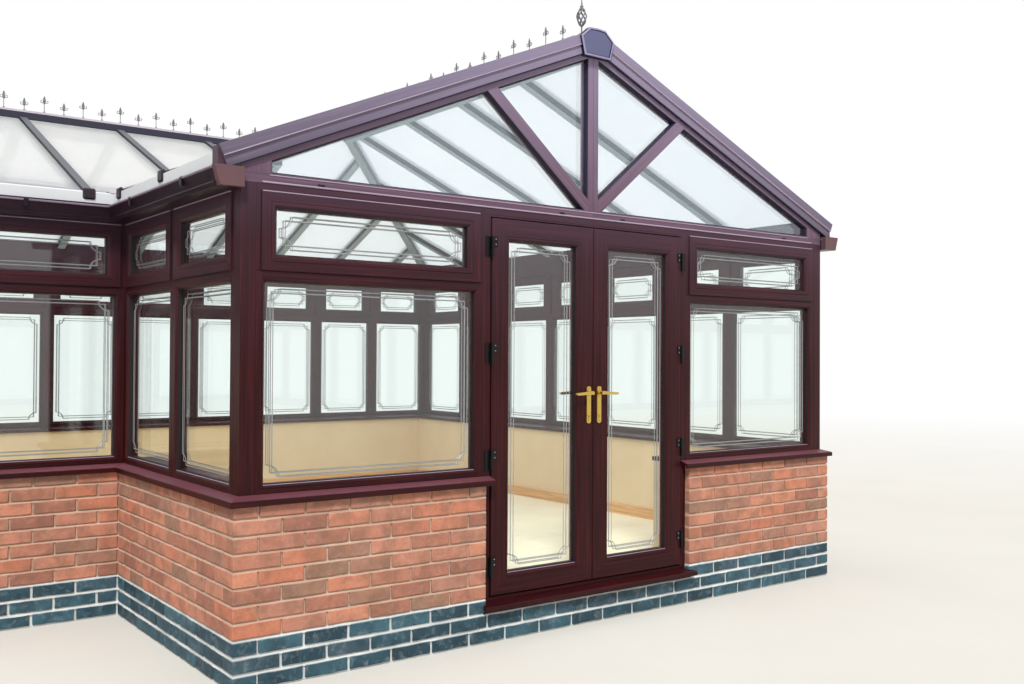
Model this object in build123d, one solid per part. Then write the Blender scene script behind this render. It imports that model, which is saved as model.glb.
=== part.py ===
from build123d import *
import math
import os

# Gable conservatory on dwarf brick walls, with a gabled front, a lower wing to its left,
# glazed walls, an outward opening pair of French doors and a glazed roof.
# Millimetres. The origin is on the ground under the middle of the doorway's wall,
# X runs to the right along the front, Y runs back into the building, Z is up.

# Brickwork
COURSE = 75.0
BRICK_PITCH = 225.0
PLINTH_COURSES = 3
BRICK_COURSES = 8
WALL = 280.0
WIDTH = 4180.0
PROJECTION = 7.5 * BRICK_PITCH
SPAN_STEP = 805.0
WING_LENGTH = 15.5 * BRICK_PITCH
DOOR_OPENING = 1500.0
FLOOR_TOP = 215.0

# Window sills
CILL_RISE = 25.0
CILL_NOSE = 30.0
CILL_LIP = 27.0
CILL_FALL = 17.0
CILL_ARRIS = 3.0
CILL_THROAT = 12.0
CILL_HORN = 44.0
BOARD_NOSE = 30.0

# Glazed frames
FRAME_SET = 28.0
FRAME_DEPTH = 70.0
FRAME_HEIGHT = 1390.0
FRAME_FACE = 52.0
FRAME_FOOT = 42.0
TRANSOM_FACE = 50.0
FANLIGHT_TALL = 355.0
SASH_HEAD_FACE = 37.0
SASH_INSET = 25.0
SASH_FACE = 78.0
SASH_RAIL = 75.0
SASH_PROUD = 10.0
SASH_BACK = 12.0
BEAD = 12.0
GLASS_SET = 30.0
GLASS_THICK = 24.0
RETURN_BAYS = 2
WING_BAYS = 4
END_BAYS = 4
REAR_BAYS = 12
RIGHT_BAYS = 7

# French doors
DOOR_CILL_Z = 150.0
DOOR_CILL_TOP = 200.0
DOOR_CILL_NOSE = 50.0
DOOR_CILL_FALL = 12.0
DOOR_CILL_ARRIS = 4.0
DOOR_CILL_LIP = 20.0
DOOR_CILL_SKIRT = 6.0
DOOR_CILL_HORN = 12.0
DOOR_CILL_SPLAY = 14.0
DOOR_FRAME_FACE = 45.0
DOOR_FRAME_FOOT = 23.0
DOOR_STOP = 18.0
DOOR_STOP_DEPTH = 10.0
DOOR_GAP = 5.0
LEAF_PROUD = 8.0
LEAF_BEVEL = 6.0
LEAF_STILE = 120.0
LEAF_TOP_RAIL = 115.0
LEAF_FOOT_RAIL = 112.0
HINGE_TALL = 105.0
HINGE_RADIUS = 7.0
HINGE_STAND = 8.0
HINGE_FLAG = 34.0
HINGE_FLAG_THICK = 4.0
HINGE_END = 150.0
HINGE_OVER_CILL = 82.0
KNUCKLE_GAP = 0.3
PLATE_WIDE = 30.0
PLATE_TALL = 205.0
PLATE_THICK = 9.0
PLATE_FOOT_Z = 1100.0
HANDLE_Z = 1270.0
HANDLE_BACKSET = 36.0
SPINDLE_RADIUS = 8.0
SPINDLE_CLEAR = 0.3
SPINDLE_BORE = 12.0
LEVER_LONG = 118.0
LEVER_NECK = 32.0
LEVER_TIP = 12.0
LEVER_DROP = 3.0
LEVER_STAND = 36.0
LEVER_DEEP = 12.0
LEVER_TALL = 20.0

# Roof
PITCH = 0.4245
EAVES_RISE = 120.0
SHEET_THICK = 27.0
OVERHANG = 70.0
BAR_HALF = 30.0
BAR_CAP = 14.0
BAR_SPLAY = 7.0
BAR_DEEP = 40.0
BAR_WEB = 5.0
BAR_PITCH = 645.0
BAR_FIRST = 200.0
HIP_HALF = 42.0
HIP_CAP = 18.0
HIP_SHOULDER = 8.0
HIP_DEEP = 60.0
VALLEY_TRAY = 8.0
RIDGE_HALF = 78.0
RIDGE_TOP_HALF = 22.0
RIDGE_RISE = 32.0
RIDGE_LIP = 6.0
RIDGE_SHOULDER = 10.0
RIDGE_BEAM_HALF = 32.0
RIDGE_BEAM_DEEP = 95.0
BAR_TAIL = 6.0

# Gutters
GUTTER_DROP = 70.0
GUTTER_CLEAR = 3.0
GUTTER_OUT = 106.0
GUTTER_OUT_FOOT = 80.0
GUTTER_WALL = 4.0
END_BOX_FRONT = 16.0
END_BOX_DEEP = 36.0
END_BOX_MARGIN = 4.0

# Gables
GABLE_RAIL = 45.0
GABLE_SIDE = 73.0
GABLE_UNDER = 86.0
KING_HALF = 36.0
STRUT_WIDE = 61.0
STRUT_FOOT = 10.0
STRUT_HEAD_FRONT = 698.0
FASCIA_DROP = 58.0
FASCIA_RISE = 60.0
FASCIA_BAND = 57.0
FASCIA_PROUD = 22.0
FASCIA_STEP = 8.0
FASCIA_OVER = 58.0
APEX_PROUD = 16.0
APEX_ABOVE = 3.0
APEX_FOOT_HALF = 95.0
APEX_WIDE_HALF = 122.0
APEX_TOP_HALF = 58.0
APEX_TOP_FALL = 4.0
APEX_DROP = 164.0
APEX_SHOULDER = 60.0
APEX_RIM = 14.0
APEX_SUNK = 5.0

# Finials and ridge cresting
FINIAL_SET = 133.0
FINIAL_HALF = 28.0
FINIAL_TALL = 106.0
FINIAL_FOOT = 50.0
FINIAL_STEM = 5.0
FINIAL_SPIKE = 75.0
FINIAL_STEPS = 6
CREST_START = 60.0
CREST_PITCH = 159.0
CREST_TAIL = 86.0
CREST_WING_PITCH = 129.0
CREST_WING_TAIL = 18.0
CREST_TALL = 128.0
CREST_SHORT = 98.0
CREST_STEM = 5.0
CREST_HEAD = 52.0
CREST_HEAD_TALL = 56.0
CREST_STRIP = 14.0
CREST_STRIP_TALL = 5.0

PLINTH_TOP = PLINTH_COURSES * COURSE
WALL_TOP = PLINTH_TOP + BRICK_COURSES * COURSE
SILL = WALL_TOP + CILL_RISE
HEAD = SILL + FRAME_HEIGHT
FRAME_BACK = FRAME_SET + FRAME_DEPTH
SASH_TOP = FRAME_HEIGHT - SASH_HEAD_FACE
SASH_FOOT = SASH_TOP - FANLIGHT_TALL
TRANSOM_Z = SASH_FOOT - TRANSOM_FACE
EAVES_SHEET = HEAD + EAVES_RISE
GUTTER_TOP = EAVES_SHEET - GUTTER_DROP
GUTTER_FOOT = SILL + SASH_TOP + GUTTER_CLEAR
PIER = (WIDTH - DOOR_OPENING) / 2
WING_SPAN = WIDTH - SPAN_STEP

RIGHT = WIDTH / 2
INNER = -WIDTH / 2
LEFT = INNER - WING_LENGTH
FRONT = -WALL / 2
WING = FRONT + PROJECTION
REAR = WING + WING_SPAN
HALF_GABLE = WIDTH / 2
HALF_WING = WING_SPAN / 2
WING_RIDGE_Y = REAR - HALF_WING
VALLEY_HEAD = (INNER + HALF_WING, WING_RIDGE_Y)
RIDGE_END = (0.0, REAR - HALF_GABLE)

# Plan directions in degrees: the ridges, hip and link away from their node, the valley downhill
MAIN_WAY = 270
WING_WAY = 180
VALLEY_WAY = 225
HIP_WAY = 45
LINK_WAY = 135

# Reaches of the trimming solids: past a corner, past a roof node, over the plan, over the roof
CORNER_REACH = WALL + 4 * BOARD_NOSE
NODE_REACH = 5 * HIP_HALF
PLAN_REACH = RIGHT - LEFT + REAR - FRONT
ABOVE_ALL = EAVES_SHEET + WIDTH

# Each side of the plan: the corner it starts from, the turn of its run seen from outside,
# its length, and whether the corners at its start and end are outer (1) or inner (-1) ones.
SIDES = {
    "front": (INNER, FRONT, 0, WIDTH, 1, 1),
    "right": (RIGHT, FRONT, 90, REAR - FRONT, 1, 1),
    "rear": (RIGHT, REAR, 180, RIGHT - LEFT, 1, 1),
    "left_end": (LEFT, REAR, 270, WING_SPAN, 1, 1),
    "wing_front": (LEFT, WING, 0, WING_LENGTH, 1, -1),
    "return": (INNER, WING, 270, PROJECTION, -1, 1),
}
FRONT_AND_REAR = ("front", "rear", "wing_front")
END_SIDES = ("right", "left_end", "return")
PLAIN_SIDES = ("right", "rear", "left_end", "wing_front", "return")


def block(x0, x1, y0, y1, z0, z1):
    return Pos(x0, y0, z0) * Box(x1 - x0, y1 - y0, z1 - z0, align=(Align.MIN, Align.MIN, Align.MIN))


def prism(points, z0, z1):
    outline = Polyline([(x, y, z0) for x, y in points], close=True)
    return extrude(make_face(outline), amount=z1 - z0, dir=(0, 0, 1))


def along(profile, u0, u1):
    """A straight run of a (depth, height) profile along a side."""
    outline = Polyline([(u0, v, z) for v, z in profile], close=True)
    return extrude(make_face(outline), amount=u1 - u0, dir=(1, 0, 0))


def plate(points, v0, v1):
    """An upright plate with a (run, height) outline, from depth v0 to v1."""
    outline = Polyline([(u, v0, z) for u, z in points], close=True)
    return extrude(make_face(outline), amount=v1 - v0, dir=(0, 1, 0))


def on_side(side, shape):
    x, y, turn = SIDES[side][:3]
    return Pos(x, y, 0) * Rot(0, 0, turn) * shape


def side_length(side):
    return SIDES[side][3]


def mitre(side, shape):
    """Trims a run to the lines that halve the corners at its two ends."""
    length, first, last = SIDES[side][3:]
    reach = CORNER_REACH
    outline = [
        (-reach * first, -reach),
        (length + reach * last, -reach),
        (length - reach * last, reach),
        (reach * first, reach),
    ]
    return shape & prism(outline, 0, ABOVE_ALL)


def solids(*shapes):
    found = []
    for shape in shapes:
        found += shape.solids()
    return found


def save(name, *shapes):
    pieces = solids(*shapes)
    whole = pieces[0] if len(pieces) == 1 else Compound(children=pieces)
    export_step(whole, f"parts/{name}.step")


# Masonry, floor and boards

def wall_run(side, z0, z1):
    """A wall between two heights; the front, rear and wing walls run through the corners."""
    length, first, last = SIDES[side][3:]
    start, end = 0.0, length
    if side in END_SIDES:
        start = first * WALL
        end = length - last * WALL
    return on_side(side, block(start, end, 0, WALL, z0, z1))


def front_piers(z0, z1):
    left = block(INNER, INNER + PIER, FRONT, FRONT + WALL, z0, z1)
    right = block(RIGHT - PIER, RIGHT, FRONT, FRONT + WALL, z0, z1)
    return left, right


def plinths():
    threshold = block(INNER, RIGHT, FRONT, FRONT + WALL, 0, DOOR_CILL_Z)
    piers = front_piers(DOOR_CILL_Z, PLINTH_TOP)
    front = threshold + piers[0] + piers[1]
    runs = [wall_run(side, 0, PLINTH_TOP) for side in ("rear", "wing_front")]
    save("plinth_front_and_rear", front, *runs)
    save("plinth_sides", *[wall_run(side, 0, PLINTH_TOP) for side in END_SIDES])


def walls():
    save("wall_front", *front_piers(PLINTH_TOP, WALL_TOP))
    for side in PLAIN_SIDES:
        save(f"wall_{side}", wall_run(side, PLINTH_TOP, WALL_TOP))


def floors():
    main = block(INNER + WALL, RIGHT - WALL, FRONT + WALL, REAR - WALL, 0, FLOOR_TOP)
    wing = block(LEFT + WALL, INNER + WALL, WING + WALL, REAR - WALL, 0, FLOOR_TOP)
    threshold = block(-DOOR_OPENING / 2, DOOR_OPENING / 2, FRONT + FRAME_BACK, FRONT + WALL,
                      DOOR_CILL_Z, FLOOR_TOP)
    save("floor_main", main + threshold)
    save("floor_wing", wing)


def cill_run(side):
    low = SILL - CILL_FALL - CILL_LIP
    profile = [
        (FRAME_BACK, WALL_TOP),
        (FRAME_BACK, SILL),
        (FRAME_SET, SILL),
        (-CILL_NOSE + CILL_ARRIS, SILL - CILL_FALL),
        (-CILL_NOSE, SILL - CILL_FALL - CILL_ARRIS),
        (-CILL_NOSE, low),
        (-CILL_NOSE + CILL_THROAT, low),
        (-CILL_NOSE + CILL_THROAT, WALL_TOP),
    ]
    return mitre(side, along(profile, -WALL, side_length(side) + WALL))


def front_cills():
    """Sills of the two front piers, whose horns run past the pier into the doorway."""
    doorway = block(PIER, WIDTH - PIER, FRAME_SET, WALL, 0, HEAD)
    nose_gap = block(PIER + CILL_HORN, WIDTH - PIER - CILL_HORN, -WALL, WALL, 0, HEAD)
    return on_side("front", cill_run("front") - doorway - nose_gap)


def cills():
    runs = {side: on_side(side, cill_run(side)) for side in PLAIN_SIDES}
    save("cills_front_and_rear", front_cills(), runs["rear"], runs["wing_front"])
    save("cills_sides", *[runs[side] for side in END_SIDES])


def window_boards():
    runs = {}
    for side in SIDES:
        run = block(-CORNER_REACH, side_length(side) + CORNER_REACH, FRAME_BACK, WALL + BOARD_NOSE,
                    WALL_TOP, SILL)
        run = mitre(side, run)
        if side == "front":
            run = run - block(PIER, WIDTH - PIER, 0, 2 * WALL, 0, HEAD)
        runs[side] = on_side(side, run)
    save("window_boards_front_and_rear", *[runs[side] for side in FRONT_AND_REAR])
    save("window_boards_sides", *[runs[side] for side in END_SIDES])


# Glazed walls

def frame_ends(side):
    """Start and end of the frames on a side, between or beyond its corner posts."""
    length, first, last = SIDES[side][3:]
    start = FRAME_BACK if first > 0 else -FRAME_SET
    end = length - FRAME_BACK if last > 0 else length + FRAME_SET
    return start, end


def bays(side, count):
    start, end = frame_ends(side)
    pitch = (end - start) / count
    return [(start + k * pitch, start + (k + 1) * pitch) for k in range(count)]


SIDE_BAYS = {
    "front": [(FRAME_BACK, PIER), (WIDTH - PIER, WIDTH - FRAME_BACK)],
    "right": bays("right", RIGHT_BAYS),
    "rear": bays("rear", REAR_BAYS),
    "left_end": bays("left_end", END_BAYS),
    "wing_front": bays("wing_front", WING_BAYS),
    "return": bays("return", RETURN_BAYS),
}


def light(u0, u1, z0, z1):
    """The cut for one pane, with its sloped glazing bead towards the outside."""
    hole = block(u0, u1, FRAME_SET - 1, FRAME_BACK + 1, z0, z1)
    outer = Plane((0, FRAME_SET, 0), x_dir=(1, 0, 0), z_dir=(0, -1, 0))
    inner = outer.offset(-BEAD)
    middle_u, middle_z = (u0 + u1) / 2, (z0 + z1) / 2
    wide = Pos(middle_u, middle_z) * Rectangle(u1 - u0 + 2 * BEAD, z1 - z0 + 2 * BEAD)
    narrow = Pos(middle_u, middle_z) * Rectangle(u1 - u0, z1 - z0)
    return hole + loft([outer * wide, inner * narrow])


def pane_low(u0, u1):
    return u0 + FRAME_FACE, u1 - FRAME_FACE, SILL + FRAME_FOOT, SILL + TRANSOM_Z


def sash_outline(u0, u1):
    return u0 + SASH_INSET, u1 - SASH_INSET, SILL + SASH_FOOT, SILL + SASH_TOP


def frame_run(first, last, openings):
    frame = block(first, last, FRAME_SET, FRAME_BACK, SILL, HEAD)
    cuts = []
    for u0, u1 in openings:
        cuts.append(light(*pane_low(u0, u1)))
        a, b, low, high = sash_outline(u0, u1)
        cuts.append(block(a, b, FRAME_SET - 1, FRAME_BACK + 1, low, high))
    return frame - cuts


def frames():
    for side, openings in SIDE_BAYS.items():
        if side == "front":
            parts = [frame_run(u0, u1, [(u0, u1)]) for u0, u1 in openings]
        else:
            parts = [frame_run(openings[0][0], openings[-1][1], openings)]
        save(f"frame_{side}", *[on_side(side, part) for part in parts])


def sash(u0, u1):
    a, b, low, high = sash_outline(u0, u1)
    front = FRAME_SET - SASH_PROUD
    ring = block(a, b, front, FRAME_BACK - SASH_BACK, low, high)
    hole = light(a + SASH_FACE, b - SASH_FACE, low + SASH_RAIL, high - SASH_RAIL)
    return ring - Pos(0, -SASH_PROUD, 0) * hole


def sash_pane(u0, u1):
    a, b, low, high = sash_outline(u0, u1)
    front = FRAME_SET + GLASS_SET - SASH_PROUD
    return block(a + SASH_FACE, b - SASH_FACE, front, front + GLASS_THICK, low + SASH_RAIL,
                 high - SASH_RAIL)


def fixed_pane(u0, u1):
    a, b, low, high = pane_low(u0, u1)
    return block(a, b, FRAME_SET + GLASS_SET, FRAME_SET + GLASS_SET + GLASS_THICK, low, high)


def sashes_and_panes():
    for name, maker in (("fanlight_sashes", sash), ("fanlight_panes", sash_pane),
                        ("window_panes", fixed_pane)):
        pieces = []
        for side, openings in SIDE_BAYS.items():
            pieces += [on_side(side, maker(u0, u1)) for u0, u1 in openings]
        save(name, *pieces)


def corner_posts():
    post = block(FRAME_SET, FRAME_BACK, FRAME_SET, FRAME_BACK, SILL, HEAD)
    outer = [on_side(side, post) for side in ("front", "right", "rear", "left_end", "wing_front")]
    inside = block(INNER + FRAME_SET, INNER + FRAME_BACK, WING + FRAME_SET, WING + FRAME_BACK,
                   SILL, HEAD)
    save("corner_posts", *outer, inside)


# French doors

JAMB = DOOR_OPENING / 2 - DOOR_FRAME_FACE
LEAF_EDGE = JAMB - DOOR_GAP
LEAF_FOOT = DOOR_CILL_TOP + DOOR_FRAME_FOOT + DOOR_GAP
LEAF_HEAD = HEAD - DOOR_FRAME_FACE - DOOR_GAP
LEAF_FACE = FRONT + FRAME_SET - LEAF_PROUD
LEAF_BACK = FRONT + FRAME_BACK - DOOR_STOP_DEPTH - DOOR_GAP
HINGE_Y = LEAF_FACE - HINGE_STAND
HINGE_X = LEAF_EDGE + DOOR_GAP / 2
HINGE_LOW = SILL + HINGE_OVER_CILL
HINGE_HIGH = LEAF_HEAD - HINGE_END
HINGE_CENTRES = (LEAF_FOOT + HINGE_END, HINGE_LOW, (HINGE_LOW + HINGE_HIGH) / 2, HINGE_HIGH)


def door_frame():
    half = DOOR_OPENING / 2
    foot = DOOR_CILL_TOP
    outer = block(-half, half, FRONT + FRAME_SET, FRONT + FRAME_BACK, foot, HEAD)
    clear = block(-JAMB, JAMB, FRONT, FRONT + FRAME_BACK - DOOR_STOP_DEPTH,
                  foot + DOOR_FRAME_FOOT, HEAD - DOOR_FRAME_FACE)
    stop = block(-JAMB + DOOR_STOP, JAMB - DOOR_STOP, FRONT, FRONT + FRAME_BACK + 1,
                 foot + DOOR_FRAME_FOOT, HEAD - DOOR_FRAME_FACE - DOOR_STOP)
    save("door_frame", outer - clear - stop)


def door_cill():
    half = DOOR_OPENING / 2
    horn = half + DOOR_CILL_HORN
    tip = horn + DOOR_CILL_SPLAY
    nose = FRONT - DOOR_CILL_NOSE
    top, low = DOOR_CILL_TOP, DOOR_CILL_Z
    profile = [
        (FRONT + FRAME_BACK, low),
        (FRONT + FRAME_BACK, top),
        (FRONT + FRAME_SET, top),
        (nose + DOOR_CILL_ARRIS, top - DOOR_CILL_FALL + DOOR_CILL_ARRIS),
        (nose, top - DOOR_CILL_FALL),
        (nose, top - DOOR_CILL_FALL - DOOR_CILL_LIP),
        (FRONT - DOOR_CILL_SKIRT, top - DOOR_CILL_FALL - DOOR_CILL_LIP),
        (FRONT - DOOR_CILL_SKIRT, low),
    ]
    run = along(profile, -tip, tip)
    outline = [
        (-half, FRONT + FRAME_BACK),
        (-half, FRONT),
        (-horn, FRONT),
        (-tip, nose),
        (tip, nose),
        (horn, FRONT),
        (half, FRONT),
        (half, FRONT + FRAME_BACK),
    ]
    save("door_cill", run & prism(outline, low, top))


def leaf_glass_edges():
    meeting = DOOR_GAP / 2
    return (meeting + LEAF_STILE, LEAF_EDGE - LEAF_STILE,
            LEAF_FOOT + LEAF_FOOT_RAIL, LEAF_HEAD - LEAF_TOP_RAIL)


def handle_x():
    return DOOR_GAP / 2 + HANDLE_BACKSET


def across_bore(x, radius, y0, y1):
    bore = Cylinder(radius, y1 - y0, align=(Align.CENTER, Align.CENTER, Align.MIN))
    return Pos(x, y0, HANDLE_Z) * Rot(-90, 0, 0) * bore


def door_leaf():
    """The right leaf; the left one is its mirror image."""
    u0, u1, low, high = leaf_glass_edges()
    plan = [(DOOR_GAP / 2, LEAF_FACE), (LEAF_EDGE, LEAF_FACE), (LEAF_EDGE, LEAF_BACK),
            (DOOR_GAP / 2 + LEAF_BEVEL, LEAF_BACK)]
    ring = prism(plan, LEAF_FOOT, LEAF_HEAD)
    hole = Pos(0, LEAF_FACE - FRAME_SET, 0) * light(u0, u1, low, high)
    bore = across_bore(handle_x(), SPINDLE_BORE, LEAF_FACE - 1, LEAF_BACK + 1)
    return ring - hole - bore


def door_pane():
    u0, u1, low, high = leaf_glass_edges()
    return block(u0, u1, LEAF_FACE + GLASS_SET, LEAF_FACE + GLASS_SET + GLASS_THICK, low, high)


def knuckle(z0, z1):
    barrel = Cylinder(HINGE_RADIUS, z1 - z0, align=(Align.CENTER, Align.CENTER, Align.MIN))
    return Pos(HINGE_X, HINGE_Y, z0) * barrel


def leaf_hinges():
    """Flags screwed to the face of the right leaf, each with the upper half of a barrel."""
    pieces = []
    for centre in HINGE_CENTRES:
        low, high = centre + KNUCKLE_GAP / 2, centre + HINGE_TALL / 2
        flag = block(HINGE_X - HINGE_FLAG, LEAF_EDGE, LEAF_FACE - HINGE_FLAG_THICK, LEAF_FACE,
                     low, high)
        web = block(HINGE_X - HINGE_RADIUS, LEAF_EDGE, HINGE_Y, LEAF_FACE, low, high)
        pieces.append(flag + web + knuckle(low, high))
    return pieces


def frame_hinges():
    """Flags screwed to the face of the right jamb, each with the lower half of a barrel."""
    pieces = []
    face = FRONT + FRAME_SET
    for centre in HINGE_CENTRES:
        low, high = centre - HINGE_TALL / 2, centre + HINGE_TALL / 2
        top = centre - KNUCKLE_GAP / 2
        flag = block(JAMB, JAMB + HINGE_FLAG, face - HINGE_FLAG_THICK, face, low, high)
        web = block(JAMB, JAMB + HINGE_RADIUS, HINGE_Y, face, low, top)
        pieces.append(flag + web + knuckle(low, top))
    return pieces


def handle_plates():
    """The plates on the outer and inner faces of the right leaf."""
    x = handle_x()
    pieces = []
    for y0, y1 in ((LEAF_FACE - PLATE_THICK, LEAF_FACE), (LEAF_BACK, LEAF_BACK + PLATE_THICK)):
        body = block(x - PLATE_WIDE / 2, x + PLATE_WIDE / 2, y0, y1, PLATE_FOOT_Z,
                     PLATE_FOOT_Z + PLATE_TALL)
        body = chamfer(body.edges().filter_by(Axis.Y), PLATE_WIDE / 4)
        bore = across_bore(x, SPINDLE_RADIUS + SPINDLE_CLEAR, y0 - 1, y1 + 1)
        pieces.append(body - bore)
    return pieces


def lever():
    """The right lever: a spindle through the leaf with an arm on each side."""
    x = handle_x()
    out = LEAF_FACE - PLATE_THICK - LEVER_STAND
    back = LEAF_BACK + PLATE_THICK + LEVER_STAND
    spindle = across_bore(x, SPINDLE_RADIUS, out, back)
    arms = []
    half = LEVER_TALL / 2
    outline = [
        (x - half, HANDLE_Z - half),
        (x + LEVER_NECK, HANDLE_Z - half),
        (x + LEVER_LONG - LEVER_TIP, HANDLE_Z - half - LEVER_DROP),
        (x + LEVER_LONG, HANDLE_Z - half + LEVER_DROP),
        (x + LEVER_LONG - LEVER_TIP / 3, HANDLE_Z),
        (x + LEVER_NECK, HANDLE_Z + half - LEVER_DROP),
        (x, HANDLE_Z + half),
        (x - half, HANDLE_Z + half / 2),
    ]
    for near in (out, back - LEVER_DEEP):
        arms.append(plate(outline, near, near + LEVER_DEEP))
    return spindle + arms[0] + arms[1]


def mirrored(pieces):
    return [mirror(piece, about=Plane.YZ) for piece in pieces]


def doors():
    door_frame()
    door_cill()
    made = {
        "door_leaf": [door_leaf()],
        "door_pane": [door_pane()],
        "door_hinges": leaf_hinges(),
        "handle_plates": handle_plates(),
        "lever": [lever()],
    }
    for name, pieces in made.items():
        save(f"{name}_right", *pieces)
        save(f"{name}_left", *mirrored(pieces))
    jamb = frame_hinges()
    save("jamb_hinges", *jamb, *mirrored(jamb))


# Roof. A sheet's underside stands at EAVES_SHEET over the brick face and climbs inwards.

def underside(distance):
    return EAVES_SHEET + PITCH * distance


def lifted(points, heights, thick):
    outline = Polyline([(x, y, z) for (x, y), z in zip(points, heights)], close=True)
    return extrude(make_face(outline), amount=thick, dir=(0, 0, 1))


def member(start, end, section):
    """A straight roof member: a (width, height) section carried from start to end."""
    first, last = Vector(*start), Vector(*end)
    run = last - first
    ahead = Vector(run.X, run.Y, 0).normalized()
    across = Vector(ahead.Y, -ahead.X, 0)
    corners = [first + across * w + Vector(0, 0, h) for w, h in section]
    return extrude(make_face(Polyline(corners, close=True)), amount=run.length, dir=run)


def strip(start, end, half):
    """An upright slab along a plan line, for trimming sheets and bars."""
    run = Vector(end[0] - start[0], end[1] - start[1], 0)
    side = Vector(-run.Y, run.X, 0).normalized() * half
    a, b = Vector(start[0], start[1], 0), Vector(end[0], end[1], 0)
    corners = [a + side, b + side, b - side, a - side]
    return prism([(c.X, c.Y) for c in corners], 0, ABOVE_ALL)


EDGE_LEFT = LEFT + FRAME_SET
EDGE_FRONT = FRONT + FRAME_SET
EAVES_CORNER = (INNER - OVERHANG, WING - OVERHANG)
REAR_CORNER = (RIGHT + OVERHANG, REAR + OVERHANG)

# The sides with eaves, and whether their run starts (or else ends) at a gable
EAVES_SIDES = {"right": True, "rear": False, "wing_front": True, "return": False}

SLOPES = {
    "main_left": [(INNER - OVERHANG, EDGE_FRONT), EAVES_CORNER, VALLEY_HEAD, RIDGE_END,
                  (0.0, EDGE_FRONT)],
    "main_right": [(RIGHT + OVERHANG, EDGE_FRONT), REAR_CORNER, RIDGE_END, (0.0, EDGE_FRONT)],
    "rear": [REAR_CORNER, (EDGE_LEFT, REAR + OVERHANG), (EDGE_LEFT, WING_RIDGE_Y), VALLEY_HEAD,
             RIDGE_END],
    "wing_front": [(EDGE_LEFT, WING - OVERHANG), EAVES_CORNER, VALLEY_HEAD,
                   (EDGE_LEFT, WING_RIDGE_Y)],
}


def distance_in(slope, x, y):
    return {"main_left": x - INNER, "main_right": RIGHT - x, "rear": REAR - y,
            "wing_front": y - WING}[slope]


ROOF_LINES = [
    ((0.0, EDGE_FRONT), RIDGE_END),
    ((EDGE_LEFT, WING_RIDGE_Y), VALLEY_HEAD),
    (EAVES_CORNER, VALLEY_HEAD),
    (VALLEY_HEAD, RIDGE_END),
    (REAR_CORNER, RIDGE_END),
]


def crossings(slope, axis, value):
    """Where a plan line of constant x (axis 0) or y (axis 1) enters and leaves a slope."""
    outline = SLOPES[slope]
    found = []
    for a, b in zip(outline, outline[1:] + outline[:1]):
        if (a[axis] - value) * (b[axis] - value) < 0:
            part = (value - a[axis]) / (b[axis] - a[axis])
            found.append((a[0] + part * (b[0] - a[0]), a[1] + part * (b[1] - a[1])))
    return sorted(found, key=lambda point: distance_in(slope, *point))


def bar_lines():
    """Plan lines of the glazing bars on each slope, from the eaves up."""
    main_pitch = (REAR - FRONT - 2 * FRAME_BACK) / RIGHT_BAYS
    rows = [FRONT + FRAME_BACK + k * main_pitch for k in range(1, RIGHT_BAYS)]
    before = int((INNER - BAR_FIRST - EDGE_LEFT - FRAME_BACK - BAR_HALF) / BAR_PITCH)
    after = int((RIGHT - INNER + BAR_FIRST) / BAR_PITCH)
    columns = [INNER - BAR_FIRST + k * BAR_PITCH for k in range(-before, after + 1)]
    lines = {}
    for slope in SLOPES:
        axis, places = (1, rows) if slope.startswith("main") else (0, columns)
        found = [crossings(slope, axis, value) for value in places]
        lines[slope] = [pair for pair in found if len(pair) == 2 and long_enough(*pair)]
    return lines


def long_enough(a, b):
    return math.dist(a, b) > OVERHANG + FRAME_BACK + 2 * RIDGE_HALF


BAR_UPPER = [
    (-BAR_WEB, 0), (BAR_WEB, 0), (BAR_WEB, SHEET_THICK), (BAR_HALF, SHEET_THICK),
    (BAR_HALF - BAR_SPLAY, SHEET_THICK + BAR_CAP), (BAR_SPLAY - BAR_HALF, SHEET_THICK + BAR_CAP),
    (-BAR_HALF, SHEET_THICK), (-BAR_WEB, SHEET_THICK),
]
BAR_LOWER = [
    (-BAR_HALF, -BAR_DEEP), (BAR_HALF, -BAR_DEEP), (BAR_HALF, 0), (-BAR_HALF, 0),
]


def lift(slope, point):
    return (point[0], point[1], underside(distance_in(slope, *point)))


def toward(start, end, distance):
    run = Vector(end[0] - start[0], end[1] - start[1], 0).normalized() * distance
    return (start[0] + run.X, start[1] + run.Y)


def glazing_bar(slope, start, end):
    at_eaves = abs(distance_in(slope, *start) + OVERHANG) < 1
    low = toward(start, end, -BAR_TAIL) if at_eaves else start
    inner = toward(start, end, OVERHANG + FRAME_BACK) if at_eaves else start
    upper = member(lift(slope, low), lift(slope, end), BAR_UPPER)
    lower = member(lift(slope, inner), lift(slope, end), BAR_LOWER)
    return upper + lower


def roof_glazing():
    lines = bar_lines()
    webs = [strip(a, toward(b, a, -BAR_WEB), BAR_WEB) for a, b in ROOF_LINES]
    zones = [strip(toward(ROOF_LINES[k][0], ROOF_LINES[k][1], -2 * HIP_HALF),
                   toward(ROOF_LINES[k][1], ROOF_LINES[k][0], -2 * HIP_HALF),
                   RIDGE_HALF if k < 2 else HIP_HALF) for k in range(len(ROOF_LINES))]
    sheets, bars = {}, {}
    for slope, outline in SLOPES.items():
        heights = [lift(slope, point)[2] for point in outline]
        field = lifted(outline, heights, SHEET_THICK)
        cuts = [strip(toward(a, b, -OVERHANG), b, BAR_WEB) for a, b in lines[slope]]
        sheets[slope] = (field - webs - cuts).solids()
        bars[slope] = []
        for a, b in lines[slope]:
            pieces = (glazing_bar(slope, a, b) - zones).solids()
            bars[slope].append(max(pieces, key=lambda piece: piece.volume))
    save("roof_sheets_main", *sheets["main_left"], *sheets["main_right"])
    save("roof_sheets_wing", *sheets["rear"], *sheets["wing_front"])
    save("glazing_bars_main", *bars["main_left"], *bars["main_right"])
    save("glazing_bars_wing", *bars["rear"], *bars["wing_front"])


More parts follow.
